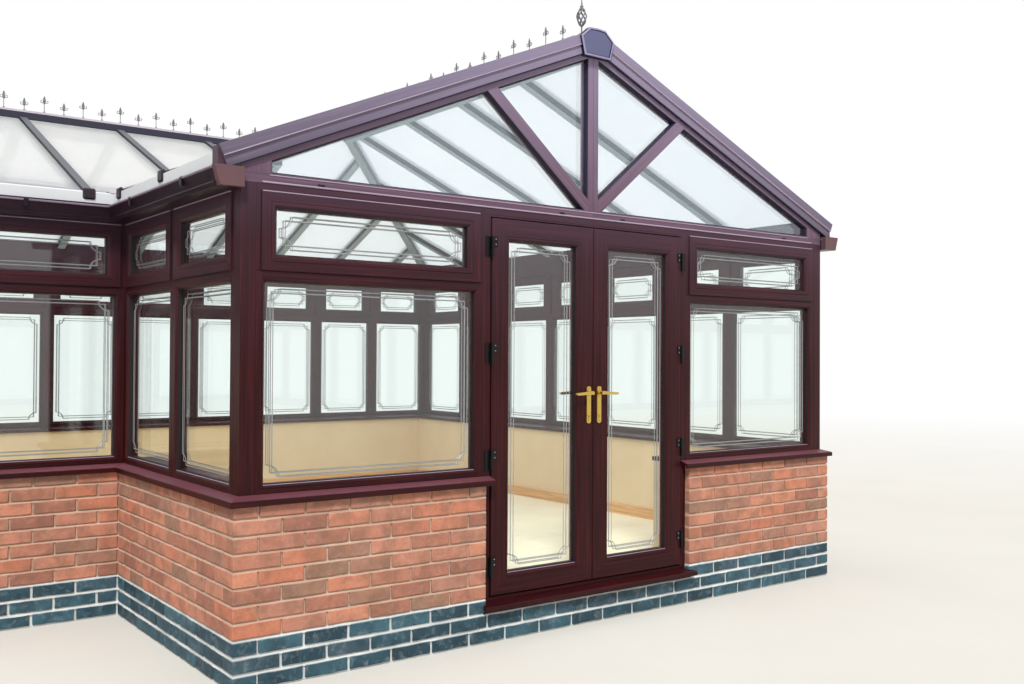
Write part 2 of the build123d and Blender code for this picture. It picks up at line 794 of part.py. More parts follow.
def ridge_sections():
    top = SHEET_THICK + RIDGE_RISE
    edge = SHEET_THICK - PITCH * RIDGE_HALF
    upper = [
        (BAR_WEB, 0),
        (BAR_WEB, SHEET_THICK - PITCH * BAR_WEB),
        (RIDGE_HALF, edge),
        (RIDGE_HALF, edge + RIDGE_LIP),
        (RIDGE_TOP_HALF + RIDGE_SHOULDER, top - RIDGE_LIP),
        (RIDGE_TOP_HALF, top),
    ]
    lower = [
        (RIDGE_BEAM_HALF, -RIDGE_BEAM_DEEP),
        (RIDGE_BEAM_HALF, -PITCH * RIDGE_BEAM_HALF),
        (BAR_WEB, -PITCH * BAR_WEB),
        (BAR_WEB, 0),
    ]
    return [part + [(-w, h) for w, h in reversed(part)] for part in (upper, lower)]


def hip_sections():
    fall = PITCH / math.sqrt(2)
    upper = [
        (BAR_WEB, 0),
        (BAR_WEB, SHEET_THICK - fall * BAR_WEB),
        (HIP_HALF, SHEET_THICK - fall * HIP_HALF),
        (HIP_HALF - HIP_SHOULDER, SHEET_THICK + HIP_CAP - RIDGE_LIP),
        (HIP_HALF - 2 * HIP_SHOULDER, SHEET_THICK + HIP_CAP),
    ]
    lower = [
        (BAR_HALF, -HIP_DEEP),
        (BAR_HALF, -fall * BAR_HALF),
        (BAR_WEB, -fall * BAR_WEB),
        (BAR_WEB, 0),
    ]
    return [part + [(-w, h) for w, h in reversed(part)] for part in (upper, lower)]


def valley_sections():
    fall = PITCH / math.sqrt(2)
    upper = [
        (BAR_WEB, fall * BAR_WEB),
        (BAR_WEB, SHEET_THICK + fall * BAR_WEB),
        (HIP_HALF, SHEET_THICK + fall * HIP_HALF),
        (HIP_HALF, SHEET_THICK + fall * HIP_HALF + VALLEY_TRAY),
        (BAR_WEB, SHEET_THICK + fall * BAR_WEB + VALLEY_TRAY),
    ]
    lower = [
        (BAR_HALF, -HIP_DEEP),
        (BAR_HALF, fall * BAR_HALF),
        (BAR_WEB, fall * BAR_WEB),
    ]
    return [part + [(-w, h) for w, h in reversed(part)] for part in (upper, lower)]


def wedge(centre, first, last):
    """A plan sector between two directions in degrees, for mitring members at a node."""
    points = [centre]
    steps = max(1, math.ceil((last - first) / 80))
    for k in range(steps + 1):
        angle = math.radians(first + (last - first) * k / steps)
        points.append((centre[0] + PLAN_REACH * math.cos(angle),
                       centre[1] + PLAN_REACH * math.sin(angle)))
    return prism(points, 0, ABOVE_ALL)


def sector(node, before, own, after):
    """The plan sector of a member at a node, mitred with its neighbours on either side."""
    return wedge(node, own - (own - before) % 360 / 2, own + (after - own) % 360 / 2)


def diagonal(corner, head, sections):
    """A hip or valley from an eaves corner up to the node at its head."""
    upper, lower = sections
    start = (corner[0], corner[1], underside(-OVERHANG))
    beyond = toward(head, corner, -NODE_REACH)
    slope = PITCH / math.sqrt(2)
    end = (beyond[0], beyond[1], underside(distance_at(head)) + slope * NODE_REACH)
    depth = FRAME_BACK + BAR_HALF
    inside = toward(corner, head, (OVERHANG + depth) * math.sqrt(2))
    first = (inside[0], inside[1], underside(depth))
    return member(start, end, upper) + member(first, end, lower)


def distance_at(node):
    return HALF_WING if node == VALLEY_HEAD else HALF_GABLE


def ridges_and_hips():
    upper, lower = ridge_sections()
    z_main, z_wing = underside(HALF_GABLE), underside(HALF_WING)
    end = (0, RIDGE_END[1] + NODE_REACH, z_main)
    main = member((0, EDGE_FRONT, z_main), end, upper)
    main = main + member((0, FRONT + FRAME_BACK, z_main), end, lower)
    end = (VALLEY_HEAD[0] + NODE_REACH, WING_RIDGE_Y, z_wing)
    wing = member((EDGE_LEFT, WING_RIDGE_Y, z_wing), end, upper)
    wing = wing + member((LEFT + FRAME_BACK, WING_RIDGE_Y, z_wing), end, lower)
    main = main & sector(RIDGE_END, LINK_WAY, MAIN_WAY, HIP_WAY)
    wing = wing & sector(VALLEY_HEAD, LINK_WAY + 180, WING_WAY, VALLEY_WAY)
    save("ridge_caps", main, wing)

    hip = diagonal(REAR_CORNER, RIDGE_END, hip_sections())
    hip = hip & sector(RIDGE_END, MAIN_WAY, HIP_WAY, LINK_WAY)
    valley = diagonal(EAVES_CORNER, VALLEY_HEAD, valley_sections())
    valley = valley & sector(VALLEY_HEAD, WING_WAY, VALLEY_WAY, LINK_WAY + 180)
    save("hip_and_valley", hip, valley)

    upper, lower = hip_sections()
    rise = PITCH / math.sqrt(2)
    low = toward(VALLEY_HEAD, RIDGE_END, -NODE_REACH)
    high = toward(RIDGE_END, VALLEY_HEAD, -NODE_REACH)
    start = (low[0], low[1], z_wing - NODE_REACH * rise)
    end = (high[0], high[1], z_main + NODE_REACH * rise)
    link = member(start, end, upper) + member(start, end, lower)
    link = link & sector(RIDGE_END, HIP_WAY, LINK_WAY, MAIN_WAY)
    link = link & sector(VALLEY_HEAD, VALLEY_WAY, LINK_WAY + 180, WING_WAY)
    save("link_hip", link)


def eaves_beams():
    runs = {}
    profile = [
        (FRAME_SET, HEAD),
        (FRAME_BACK, HEAD),
        (FRAME_BACK, underside(FRAME_BACK)),
        (FRAME_SET, underside(FRAME_SET)),
    ]
    for side, starts_at_gable in EAVES_SIDES.items():
        runs[side] = eaves_run(side, starts_at_gable, profile, FRAME_BACK)
    save("eaves_beams_rear_and_wing", runs["rear"], runs["wing_front"])
    save("eaves_beams_sides", runs["right"], runs["return"])


def eaves_run(side, starts_at_gable, profile, inset):
    """A run along the eaves, square at its gable end and mitred at its other end."""
    first, last = (inset, CORNER_REACH) if starts_at_gable else (-CORNER_REACH, -inset)
    return on_side(side, mitre(side, along(profile, first, side_length(side) + last)))


def gutters():
    back, low = FRAME_SET - GUTTER_WALL, GUTTER_FOOT + GUTTER_WALL
    profile = [
        (FRAME_SET, GUTTER_TOP),
        (FRAME_SET, GUTTER_FOOT),
        (-GUTTER_OUT_FOOT, GUTTER_FOOT),
        (-GUTTER_OUT, GUTTER_TOP),
        (-GUTTER_OUT + GUTTER_WALL, GUTTER_TOP),
        (-GUTTER_OUT_FOOT + GUTTER_WALL, low),
        (back, low),
        (back, GUTTER_TOP),
    ]
    runs = {}
    for side, starts_at_gable in EAVES_SIDES.items():
        runs[side] = eaves_run(side, starts_at_gable, profile, END_BOX_DEEP - END_BOX_FRONT)
    save("gutters_rear_and_wing", runs["rear"], runs["wing_front"])
    save("gutters_sides", runs["right"], runs["return"])


def gutter_end_box():
    """The closed box that ends a gutter at a gable, drawn for a side's start."""
    margin = END_BOX_MARGIN
    profile = [
        (FRAME_SET - 1, GUTTER_TOP + margin),
        (FRAME_SET - 1, GUTTER_FOOT),
        (-GUTTER_OUT_FOOT - margin, GUTTER_FOOT),
        (-GUTTER_OUT - margin, GUTTER_TOP + margin),
    ]
    return along(profile, -END_BOX_FRONT, END_BOX_DEEP - END_BOX_FRONT)


def gutter_end_boxes():
    pieces = []
    for side, starts_at_gable in EAVES_SIDES.items():
        shape = gutter_end_box()
        if not starts_at_gable:
            shape = Pos(side_length(side), 0, 0) * mirror(shape, about=Plane.YZ)
        pieces.append(on_side(side, shape))
    save("gutter_end_boxes", *pieces)


# Gables, drawn on a side whose run is the gable's width

def rake(u, span, offset):
    """Height of a line parallel to the roof, offset from the sheets' underside."""
    return underside(min(u, span - u)) + offset


def gable_opening_lines(span):
    """Outlines of the panes in the left half of a gable, as (run, height) points."""
    half = span / 2
    foot = HEAD + GABLE_RAIL
    side = FRAME_BACK + GABLE_SIDE
    king = half - KING_HALF
    strut_foot = half - STRUT_FOOT
    strut_head = half - STRUT_HEAD_FRONT * span / WIDTH
    run, climb = strut_head - strut_foot, rake(strut_head, span, -GABLE_UNDER) - foot
    lean = run / climb
    cut = STRUT_WIDE / 2 * math.hypot(run, climb) / climb
    outer_foot, inner_foot = strut_foot - cut, strut_foot + cut
    # Where each edge of the strut meets the underside of the raking rail, and the king post
    fall = foot - underside(0) + GABLE_UNDER
    outer_head = (outer_foot - lean * fall) / (1 - lean * PITCH)
    inner_head = (inner_foot - lean * fall) / (1 - lean * PITCH)
    meeting = foot + (king - inner_foot) / lean

    def top(u):
        return u, rake(u, span, -GABLE_UNDER)

    outer = [(side, foot), (outer_foot, foot), top(outer_head), top(side)]
    low = [(king, meeting)] if meeting > foot else [(inner_foot, foot), (king, foot)]
    return [outer, low + [top(king), top(inner_head)]]


def gable_outlines(span):
    left = gable_opening_lines(span)
    right = [[(span - u, z) for u, z in reversed(outline)] for outline in left]
    return left + right


def gable_frame(side):
    span = side_length(side)
    first, last = FRAME_SET, span - FRAME_SET
    outline = [
        (first, HEAD),
        (last, HEAD),
        (last, rake(last, span, 0)),
        (span / 2, rake(span / 2, span, 0)),
        (first, rake(first, span, 0)),
    ]
    whole = plate(outline, FRAME_SET, FRAME_BACK)
    return whole - [plate(hole, 0, WALL) for hole in gable_outlines(span)]


def gable_panes(side):
    v0 = FRAME_SET + GLASS_SET
    return [plate(hole, v0, v0 + GLASS_THICK) for hole in gable_outlines(side_length(side))]


def fascia(side):
    """The two stepped bands that follow the verge up to the apex plate, cut square below."""
    span = side_length(side)
    half = span / 2

    def end(height):
        over = FASCIA_OVER + PITCH * height / (1 + PITCH * PITCH)
        return over, rake(-over, span, height)

    def band(low, high, front):
        (foot, foot_z), (head, head_z) = end(low), end(high)
        outline = [
            (-foot, foot_z),
            (half, rake(half, span, low)),
            (span + foot, foot_z),
            (span + head, head_z),
            (half, rake(half, span, high)),
            (-head, head_z),
        ]
        return plate(outline, front, FRAME_SET)

    front = FRAME_SET - FASCIA_PROUD
    upper = band(FASCIA_RISE - FASCIA_BAND, FASCIA_RISE, front)
    lower = band(-FASCIA_DROP, FASCIA_RISE - FASCIA_BAND, front + FASCIA_STEP)
    above_boxes = block(-WALL, span + WALL, 0, WALL, GUTTER_TOP + END_BOX_MARGIN, ABOVE_ALL)
    return (upper + lower - plate(apex_outline(span), 0, WALL)) & above_boxes


def apex_outline(span):
    """The hexagon of the apex plate, with a slightly pitched top."""
    middle = span / 2
    top = underside(middle) + SHEET_THICK + RIDGE_RISE + APEX_ABOVE
    return [
        (middle - APEX_FOOT_HALF, top - APEX_DROP),
        (middle + APEX_FOOT_HALF, top - APEX_DROP),
        (middle + APEX_WIDE_HALF, top - APEX_SHOULDER),
        (middle + APEX_TOP_HALF, top - APEX_TOP_FALL),
        (middle, top),
        (middle - APEX_TOP_HALF, top - APEX_TOP_FALL),
        (middle - APEX_WIDE_HALF, top - APEX_SHOULDER),
    ]


def apex_plate(side):
    outline = apex_outline(side_length(side))
    inside = offset(make_face(Polyline(outline, close=True)), -APEX_RIM, kind=Kind.INTERSECTION)
    front = FRAME_SET - FASCIA_PROUD - APEX_PROUD
    sunk = Plane((0, front, 0), x_dir=(1, 0, 0), z_dir=(0, -1, 0)) * inside
    return plate(outline, front, FRAME_SET) - extrude(sunk, amount=-APEX_SUNK)


def finial(side):
    """A foot, a stem, an egg-shaped basket and a spike, standing on the ridge."""
    span = side_length(side)
    z = underside(span / 2) + SHEET_THICK + RIDGE_RISE
    head = FINIAL_FOOT + FINIAL_TALL
    profile = [
        (0, 0),
        (3 * FINIAL_STEM, 0),
        (3 * FINIAL_STEM, FINIAL_STEM),
        (FINIAL_STEM, 2 * FINIAL_STEM),
        (FINIAL_STEM, FINIAL_FOOT),
    ]
    for k in range(1, FINIAL_STEPS):
        turn = math.pi * k / FINIAL_STEPS
        profile.append((FINIAL_STEM + (FINIAL_HALF - FINIAL_STEM) * math.sin(turn),
                        FINIAL_FOOT + FINIAL_TALL * (1 - math.cos(turn)) / 2))
    profile += [(FINIAL_STEM, head), (0, head + FINIAL_SPIKE)]
    outline = make_face(Polyline([(r, 0, h) for r, h in profile], close=True))
    return Pos(span / 2, FINIAL_SET, z) * revolve(outline, axis=Axis.Z)


def gables():
    ends = ("front", "left_end")
    save("gable_frames", *[on_side(side, gable_frame(side)) for side in ends])
    save("gable_panes", *[on_side(side, pane) for side in ends for pane in gable_panes(side)])
    save("gable_fascias", *[on_side(side, fascia(side)) for side in ends])
    save("apex_plates", *[on_side(side, apex_plate(side)) for side in ends])
    save("finials", *[on_side(side, finial(side)) for side in ends])


# Cresting

def spike(tall):
    """One fleur-headed spike, drawn in the XZ plane on the ridge's centre line."""
    neck = tall - CREST_HEAD_TALL
    stem, half = CREST_STEM / 2, CREST_HEAD / 2
    arm = neck + CREST_HEAD_TALL / 3
    outline = [
        (-stem, 0),
        (stem, 0),
        (stem, neck),
        (half, arm),
        (half / 3, arm + 2 * stem),
        (0, tall),
        (-half / 3, arm + 2 * stem),
        (-half, arm),
        (-stem, neck),
    ]
    return plate(outline, -stem, stem)


def cresting_run(length, pitch, tail):
    """A base strip with alternate tall and short spikes, spaced back from its far end."""
    run = block(0, length, -CREST_STRIP / 2, CREST_STRIP / 2, 0, CREST_STRIP_TALL)
    tall, short = spike(CREST_TALL), spike(CREST_SHORT)
    spikes = []
    for k in range(int((length - tail - CREST_HEAD) / pitch) + 1):
        shape = short if k % 2 == 0 else tall
        spikes.append(Pos(length - tail - k * pitch, 0, 0) * shape)
    return run + spikes


def cresting():
    top = SHEET_THICK + RIDGE_RISE
    start = FINIAL_SET + CREST_START
    main = cresting_run(RIDGE_END[1] - (FRONT + start) - HIP_HALF, CREST_PITCH, CREST_TAIL)
    wing = cresting_run(VALLEY_HEAD[0] - (LEFT + start) - HIP_HALF, CREST_WING_PITCH,
                        CREST_WING_TAIL)
    save("ridge_cresting",
         Pos(0, FRONT + start, underside(HALF_GABLE) + top) * Rot(0, 0, 90) * main,
         Pos(LEFT + start, WING_RIDGE_Y, underside(HALF_WING) + top) * wing)


os.makedirs("parts", exist_ok=True)
plinths()
walls()
floors()
cills()
window_boards()
corner_posts()
frames()
sashes_and_panes()
doors()
eaves_beams()
roof_glazing()
ridges_and_hips()
gutters()
gutter_end_boxes()
gables()
cresting()
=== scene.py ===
import bmesh
import bpy
import math
import random
from mathutils import Matrix, Vector

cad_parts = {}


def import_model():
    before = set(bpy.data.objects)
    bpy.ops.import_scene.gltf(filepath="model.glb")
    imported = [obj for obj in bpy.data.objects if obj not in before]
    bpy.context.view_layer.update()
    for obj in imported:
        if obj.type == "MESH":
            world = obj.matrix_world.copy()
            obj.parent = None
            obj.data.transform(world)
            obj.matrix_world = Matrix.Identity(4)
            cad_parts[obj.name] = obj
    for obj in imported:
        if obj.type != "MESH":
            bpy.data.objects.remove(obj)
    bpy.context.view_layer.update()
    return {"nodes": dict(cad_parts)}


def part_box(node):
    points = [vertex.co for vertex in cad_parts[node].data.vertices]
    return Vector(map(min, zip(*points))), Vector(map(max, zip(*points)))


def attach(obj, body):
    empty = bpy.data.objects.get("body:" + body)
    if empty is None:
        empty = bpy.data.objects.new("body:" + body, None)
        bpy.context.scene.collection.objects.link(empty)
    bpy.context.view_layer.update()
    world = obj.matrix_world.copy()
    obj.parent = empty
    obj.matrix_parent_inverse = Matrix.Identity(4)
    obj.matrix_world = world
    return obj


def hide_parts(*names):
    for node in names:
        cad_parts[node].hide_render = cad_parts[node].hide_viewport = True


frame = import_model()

# Looks of the gable conservatory. Metres; a side's run u starts at its left corner seen from
# outside, v goes into the wall from the brick face, z is up.

MM = 0.001
seed = random.Random(7)

# Main planes, from the CAD nodes
FRONT_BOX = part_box("wall_front")
REAR_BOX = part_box("wall_rear")
WING_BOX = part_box("wall_wing_front")
INNER, RIGHT = FRONT_BOX[0][0], FRONT_BOX[1][0]
LEFT, REAR = REAR_BOX[0][0], REAR_BOX[1][1]
FRONT, WING = FRONT_BOX[0][1], WING_BOX[0][1]
WALL = FRONT_BOX[1][1] - FRONT
WALL_TOP = FRONT_BOX[1][2]
SILL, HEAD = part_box("frame_rear")[0][2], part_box("frame_rear")[1][2]
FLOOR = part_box("floor_main")[1][2]
COURSE = 0.075
HALF_BRICK = 0.1125
DOOR = 0.75

# Depths from the brick face
FRAME_SET, FRAME_BACK = 0.028, 0.098

# Roof
PITCH = 0.4245
EAVES = 2.360
SHEET = 0.027
OVERHANG = 0.070
RIDGE_CAP = 0.032


class Side:
    """A side of the building, with an outer corner where it starts or ends, or an inner one."""

    def __init__(self, x, y, turn, length, starts=True, ends=True):
        self.x, self.y = x, y
        self.cos, self.sin = math.cos(math.radians(turn)), math.sin(math.radians(turn))
        self.length, self.starts, self.ends = length, starts, ends

    def place(self, u, v, z):
        return (self.x + u * self.cos - v * self.sin, self.y + u * self.sin + v * self.cos, z)


SIDES = {
    "front": Side(INNER, FRONT, 0, RIGHT - INNER),
    "right": Side(RIGHT, FRONT, 90, REAR - FRONT),
    "rear": Side(RIGHT, REAR, 180, RIGHT - LEFT),
    "left_end": Side(LEFT, REAR, 270, REAR - WING),
    "wing_front": Side(LEFT, WING, 0, INNER - LEFT, ends=False),
    "return": Side(INNER, WING, 270, WING - FRONT, starts=False),
}
BAYS = {"right": 7, "rear": 12, "left_end": 4, "wing_front": 4, "return": 2}
PIER = SIDES["front"].length / 2 - DOOR


def stretches(side, first, last, doorway=True):
    """Start, end and the kinds of both ends of a wall's stretches; a doorway cuts the front."""
    if side is SIDES["front"] and doorway:
        return [(0, PIER, first, "jamb"), (side.length - PIER, side.length, "jamb", last)]
    return [(0, side.length, first, last)]


# Mesh building

SIGNS = [tuple(1 if i >> k & 1 else -1 for k in range(3)) for i in range(8)]


def as_is(x, y, z):
    return (x, y, z)


def unit(a):
    return a / a.length if a.length else a


def loop(points):
    """Each point with the next one, and the last with the first."""
    return list(zip(points, points[1:] + points[:1]))


def corners(u0, u1, z0, z1):
    return [(u0, z0), (u1, z0), (u1, z1), (u0, z1)]


def anticlockwise(outline):
    area = sum(a[0] * b[1] - b[0] * a[1] for a, b in loop(outline))
    return outline if area > 0 else list(reversed(outline))


def shrink(outline, distance):
    """A convex (u, z) outline moved inwards, anticlockwise."""
    outline = anticlockwise(outline)
    points = []
    for k, here in enumerate(outline):
        before, after = outline[k - 1], outline[(k + 1) % len(outline)]
        d = unit(Vector(here) - Vector(before))
        e = unit(Vector(after) - Vector(here))
        p = Vector(here) + Vector((-d.y, d.x)) * distance
        q = Vector(here) + Vector((-e.y, e.x)) * distance
        turn = d.x * e.y - d.y * e.x
        t = ((q - p).x * e.y - (q - p).y * e.x) / turn if abs(turn) > 1e-9 else 0
        points.append(p + d * t)
    return points


def link(name, data):
    """A new object in the scene, for a mesh, a light or a camera."""
    made = bpy.data.objects.new(name, data)
    bpy.context.scene.collection.objects.link(made)
    return made


def soften(piece, name, width, angle=None):
    bevel = piece.modifiers.new(name, "BEVEL")
    bevel.width = width
    bevel.segments = 2
    bevel.limit_method = "ANGLE"
    if angle:
        bevel.angle_limit = math.radians(angle)


class Pile:
    """Collects faces, each with a UV that runs along its grain, a tint and a material number.
    Every shape is given in local coordinates and brought to its place by a function."""

    def __init__(self):
        self.points = []
        self.faces = []
        self.uvs = []
        self.tints = []
        self.numbers = []

    def add(self, place, points, uvs=None, tint=0.5, number=0):
        placed = [place(*p) for p in points]
        first = len(self.points)
        self.points.extend(placed)
        self.faces.append(tuple(range(first, first + len(placed))))
        self.uvs.extend(uvs or [(x + y, z) for x, y, z in placed])
        self.tints.append(tint)
        self.numbers.append(number)

    def make(self, name, materials, slot, body="root", replaces=None, smooth=35):
        mesh = bpy.data.meshes.new(name)
        mesh.from_pydata(self.points, [], self.faces)
        layer = mesh.uv_layers.new(name="grain")
        layer.data.foreach_set("uv", [c for uv in self.uvs for c in uv])
        tint = mesh.attributes.new("tint", "FLOAT", "FACE")
        tint.data.foreach_set("value", self.tints)
        for material in materials:
            mesh.materials.append(material)
        mesh.polygons.foreach_set("material_index", self.numbers)
        shell = bmesh.new()
        shell.from_mesh(mesh)
        bmesh.ops.remove_doubles(shell, verts=shell.verts, dist=1e-5)
        shell.to_mesh(mesh)
        shell.free()
        mesh.polygons.foreach_set("use_smooth", [True] * len(mesh.polygons))
        mesh.set_sharp_from_angle(angle=math.radians(smooth))
        mesh.update()
        piece = link(name, mesh)
        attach(piece, body)
        if replaces:
            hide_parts(replaces)
        return piece

    def box(self, place, low, high, bevel, number=0, tint=0.5):
        """A box with bevelled edges, its grain along the first axis."""
        middle = [(a + b) / 2 for a, b in zip(low, high)]
        corner = {}
        for signs in SIGNS:
            for axis in range(3):
                corner[signs, axis] = [
                    (high[k] if signs[k] > 0 else low[k]) - (0 if k == axis else signs[k] * bevel)
                    for k in range(3)]
        shift = seed.random() * 10

        def outwards(points):
            a, b, c = (Vector(points[k]) for k in range(3))
            way = [sum(p[k] for p in points) / len(points) - middle[k] for k in range(3)]
            if (b - a).cross(c - a).dot(Vector(way)) < 0:
                points = list(reversed(points))
            self.add(place, points, [(p[0] + shift, p[1] + p[2]) for p in points], tint, number)

        def tip(axis, sign, a, b, facing):
            signs = [0, 0, 0]
            signs[axis], signs[(axis + 1) % 3], signs[(axis + 2) % 3] = sign, a, b
            return corner[tuple(signs), facing]

        for axis in range(3):
            j, k = (axis + 1) % 3, (axis + 2) % 3
            for sign in (-1, 1):
                outwards([tip(axis, sign, a, b, axis) for a, b in corners(-1, 1, -1, 1)])
            for a in (-1, 1):
                for b in (-1, 1):
                    outwards([tip(axis, sign, a, b, facing)
                              for sign, facing in ((-1, j), (-1, k), (1, k), (1, j))])
        for signs in SIGNS:
            outwards([corner[signs, axis] for axis in range(3)])

    def ring(self, place, outer, widths, profile, tint=0.5):
        """A mitred rectangular frame. outer is (u0, u1, z0, z1), widths (left, right, foot, top).
        Each profile point is (0 from the outer edge or 1 from the glass edge, inset, depth,
        material number), in millimetres, and the profile closes on itself."""
        rows = []
        for kind, inset, depth, number in profile:
            rect = [edge + sign * kind * width + sign * inset * MM
                    for edge, width, sign in zip(outer, widths, (1, -1, 1, -1))]
            rows.append((rect, depth * MM, number))
        shifts = [seed.random() * 20 for _ in range(4)]
        near = 0.0
        for (a, da, number), (b, db, _) in loop(rows):
            far = near + (Vector((b[0], db)) - Vector((a[0], da))).length
            for k, ((p, q), (s, r)) in enumerate(zip(loop(corners(*a)), loop(corners(*b)))):
                points = [(p[0], da, p[1]), (q[0], da, q[1]), (r[0], db, r[1]), (s[0], db, s[1])]
                uvs = [(spot[k % 2] + shifts[k], travel)
                       for spot, travel in ((p, near), (q, near), (r, far), (s, far))]
                if (Vector(points[2]) - Vector(points[0])).length >= 1e-6:
                    self.add(place, points, uvs, tint, number)
            near = far

    def slab(self, place, outline, v0, v1, along, number=0):
        """An upright plate: a (u, z) outline between two depths, grain along a (u, z) direction."""
        outline = anticlockwise(outline)
        x, y = unit(Vector(along))
        shift = seed.random() * 20
        front = [(u, v0, z) for u, z in outline]
        back = [(u, v1, z) for u, z in reversed(outline)]
        edges = [[(a[0], v0, a[1]), (a[0], v1, a[1]), (b[0], v1, b[1]), (b[0], v0, b[1])]
                 for a, b in loop(outline)]
        for points in (front, back, *edges):
            uvs = [(u * x + z * y + shift, z * x - u * y + v) for u, v, z in points]
            self.add(place, points, uvs, 0.5, number)

    def ribbon(self, place, path, v, half, rise):
        """A thin strip round a closed (u, z) path at depth v, standing rise towards -v or +v."""
        sides = []
        for k, (x, y) in enumerate(path):
            here = Vector((x, y))
            first = unit(here - Vector(path[k - 1]))
            second = unit(Vector(path[(k + 1) % len(path)]) - here)
            normal = unit(Vector((-(first.y + second.y), first.x + second.x)))
            stretch = half / max(0.5, normal.dot(Vector((-first.y, first.x))))
            sides.append((here + normal * stretch, here - normal * stretch,
                          here + normal * stretch * 0.45, here - normal * stretch * 0.45))
        for a, b in loop(sides):
            for i, da, j, db in ((0, 0.0, 2, rise), (2, rise, 3, rise), (3, rise, 1, 0.0)):
                points = [(a[i].x, v + da, a[i].y), (b[i].x, v + da, b[i].y),
                          (b[j].x, v + db, b[j].y), (a[j].x, v + db, a[j].y)]
                self.add(place, points[::-1] if rise > 0 else points)

    def disc(self, x, z, radius, y0, y1, sides):
        """A short cylinder along Y."""
        circle = [(x + radius * math.cos(2 * math.pi * k / sides),
                   z + radius * math.sin(2 * math.pi * k / sides)) for k in range(sides)]
        for a, b in loop(circle):
            self.add(as_is, [(a[0], y0, a[1]), (a[0], y1, a[1]), (b[0], y1, b[1]),
                             (b[0], y0, b[1])])
        self.add(as_is, [(a, y0, b) for a, b in circle])
        self.add(as_is, [(a, y1, b) for a, b in reversed(circle)])

    def strip(self, place, profile, u0, u1, number=0):
        """A straight run of a closed (v, z) profile between two places of a side."""
        profile = anticlockwise(profile)
        near = 0.0
        for a, b in loop(profile):
            far = near + math.hypot(b[0] - a[0], b[1] - a[1])
            self.add(place, [(u0, *a), (u1, *a), (u1, *b), (u0, *b)],
                     [(u0, near), (u1, near), (u1, far), (u0, far)], 0.5, number)
            near = far
        self.add(place, [(u0, *p) for p in reversed(profile)], number=number)
        self.add(place, [(u1, *p) for p in profile], number=number)

    def bead(self, place, outline, rows, grain=False):
        """Slopes round a convex (u, z) outline; each row is (inset, depth, material number)."""
        rings = [(shrink(outline, inset), depth, number) for inset, depth, number in rows]
        shift = seed.random() * 9 if grain else 0
        for (a, va, number), (b, vb, _) in zip(rings, rings[1:]):
            for (p, q), (s, r) in zip(loop(a), loop(b)):
                points = [(p.x, va, p.y), (q.x, va, q.y), (r.x, vb, r.y), (s.x, vb, s.y)]
                way = unit(q - p)
                uvs = [(u * way.x + z * way.y + shift, v * 3) for u, v, z in points]
                self.add(place, points, uvs if grain else None, 0.5, number)
        return rings

    def rods(self, runs, radius, sides=6):
        """Round rods along lists of points; radius is a function of the share of the run."""
        for points in runs:
            points = [Vector(p) for p in points]
            rings = []
            for k, p in enumerate(points):
                ahead = unit(points[min(len(points) - 1, k + 1)] - points[max(0, k - 1)])
                guide = Vector((0, 0, 1)) if abs(ahead.z) < 0.9 else Vector((1, 0, 0))
                x = unit(ahead.cross(guide))
                y = x.cross(ahead)
                r = radius(k / (len(points) - 1))
                rings.append([tuple(p + (x * math.cos(t) + y * math.sin(t)) * r)
                              for t in (2 * math.pi * i / sides for i in range(sides))])
            for a, b in zip(rings, rings[1:]):
                for (p, q), (s, r) in zip(loop(a), loop(b)):
                    self.add(as_is, [p, s, r, q])
            self.add(as_is, rings[0])
            self.add(as_is, list(reversed(rings[-1])))


# Materials

def colour(value):
    """An sRGB colour from 0 to 255, as a linear one."""
    parts = [c / 255 for c in value]
    return tuple(c / 12.92 if c <= 0.04045 else ((c + 0.055) / 1.055) ** 2.4 for c in parts) + (1,)


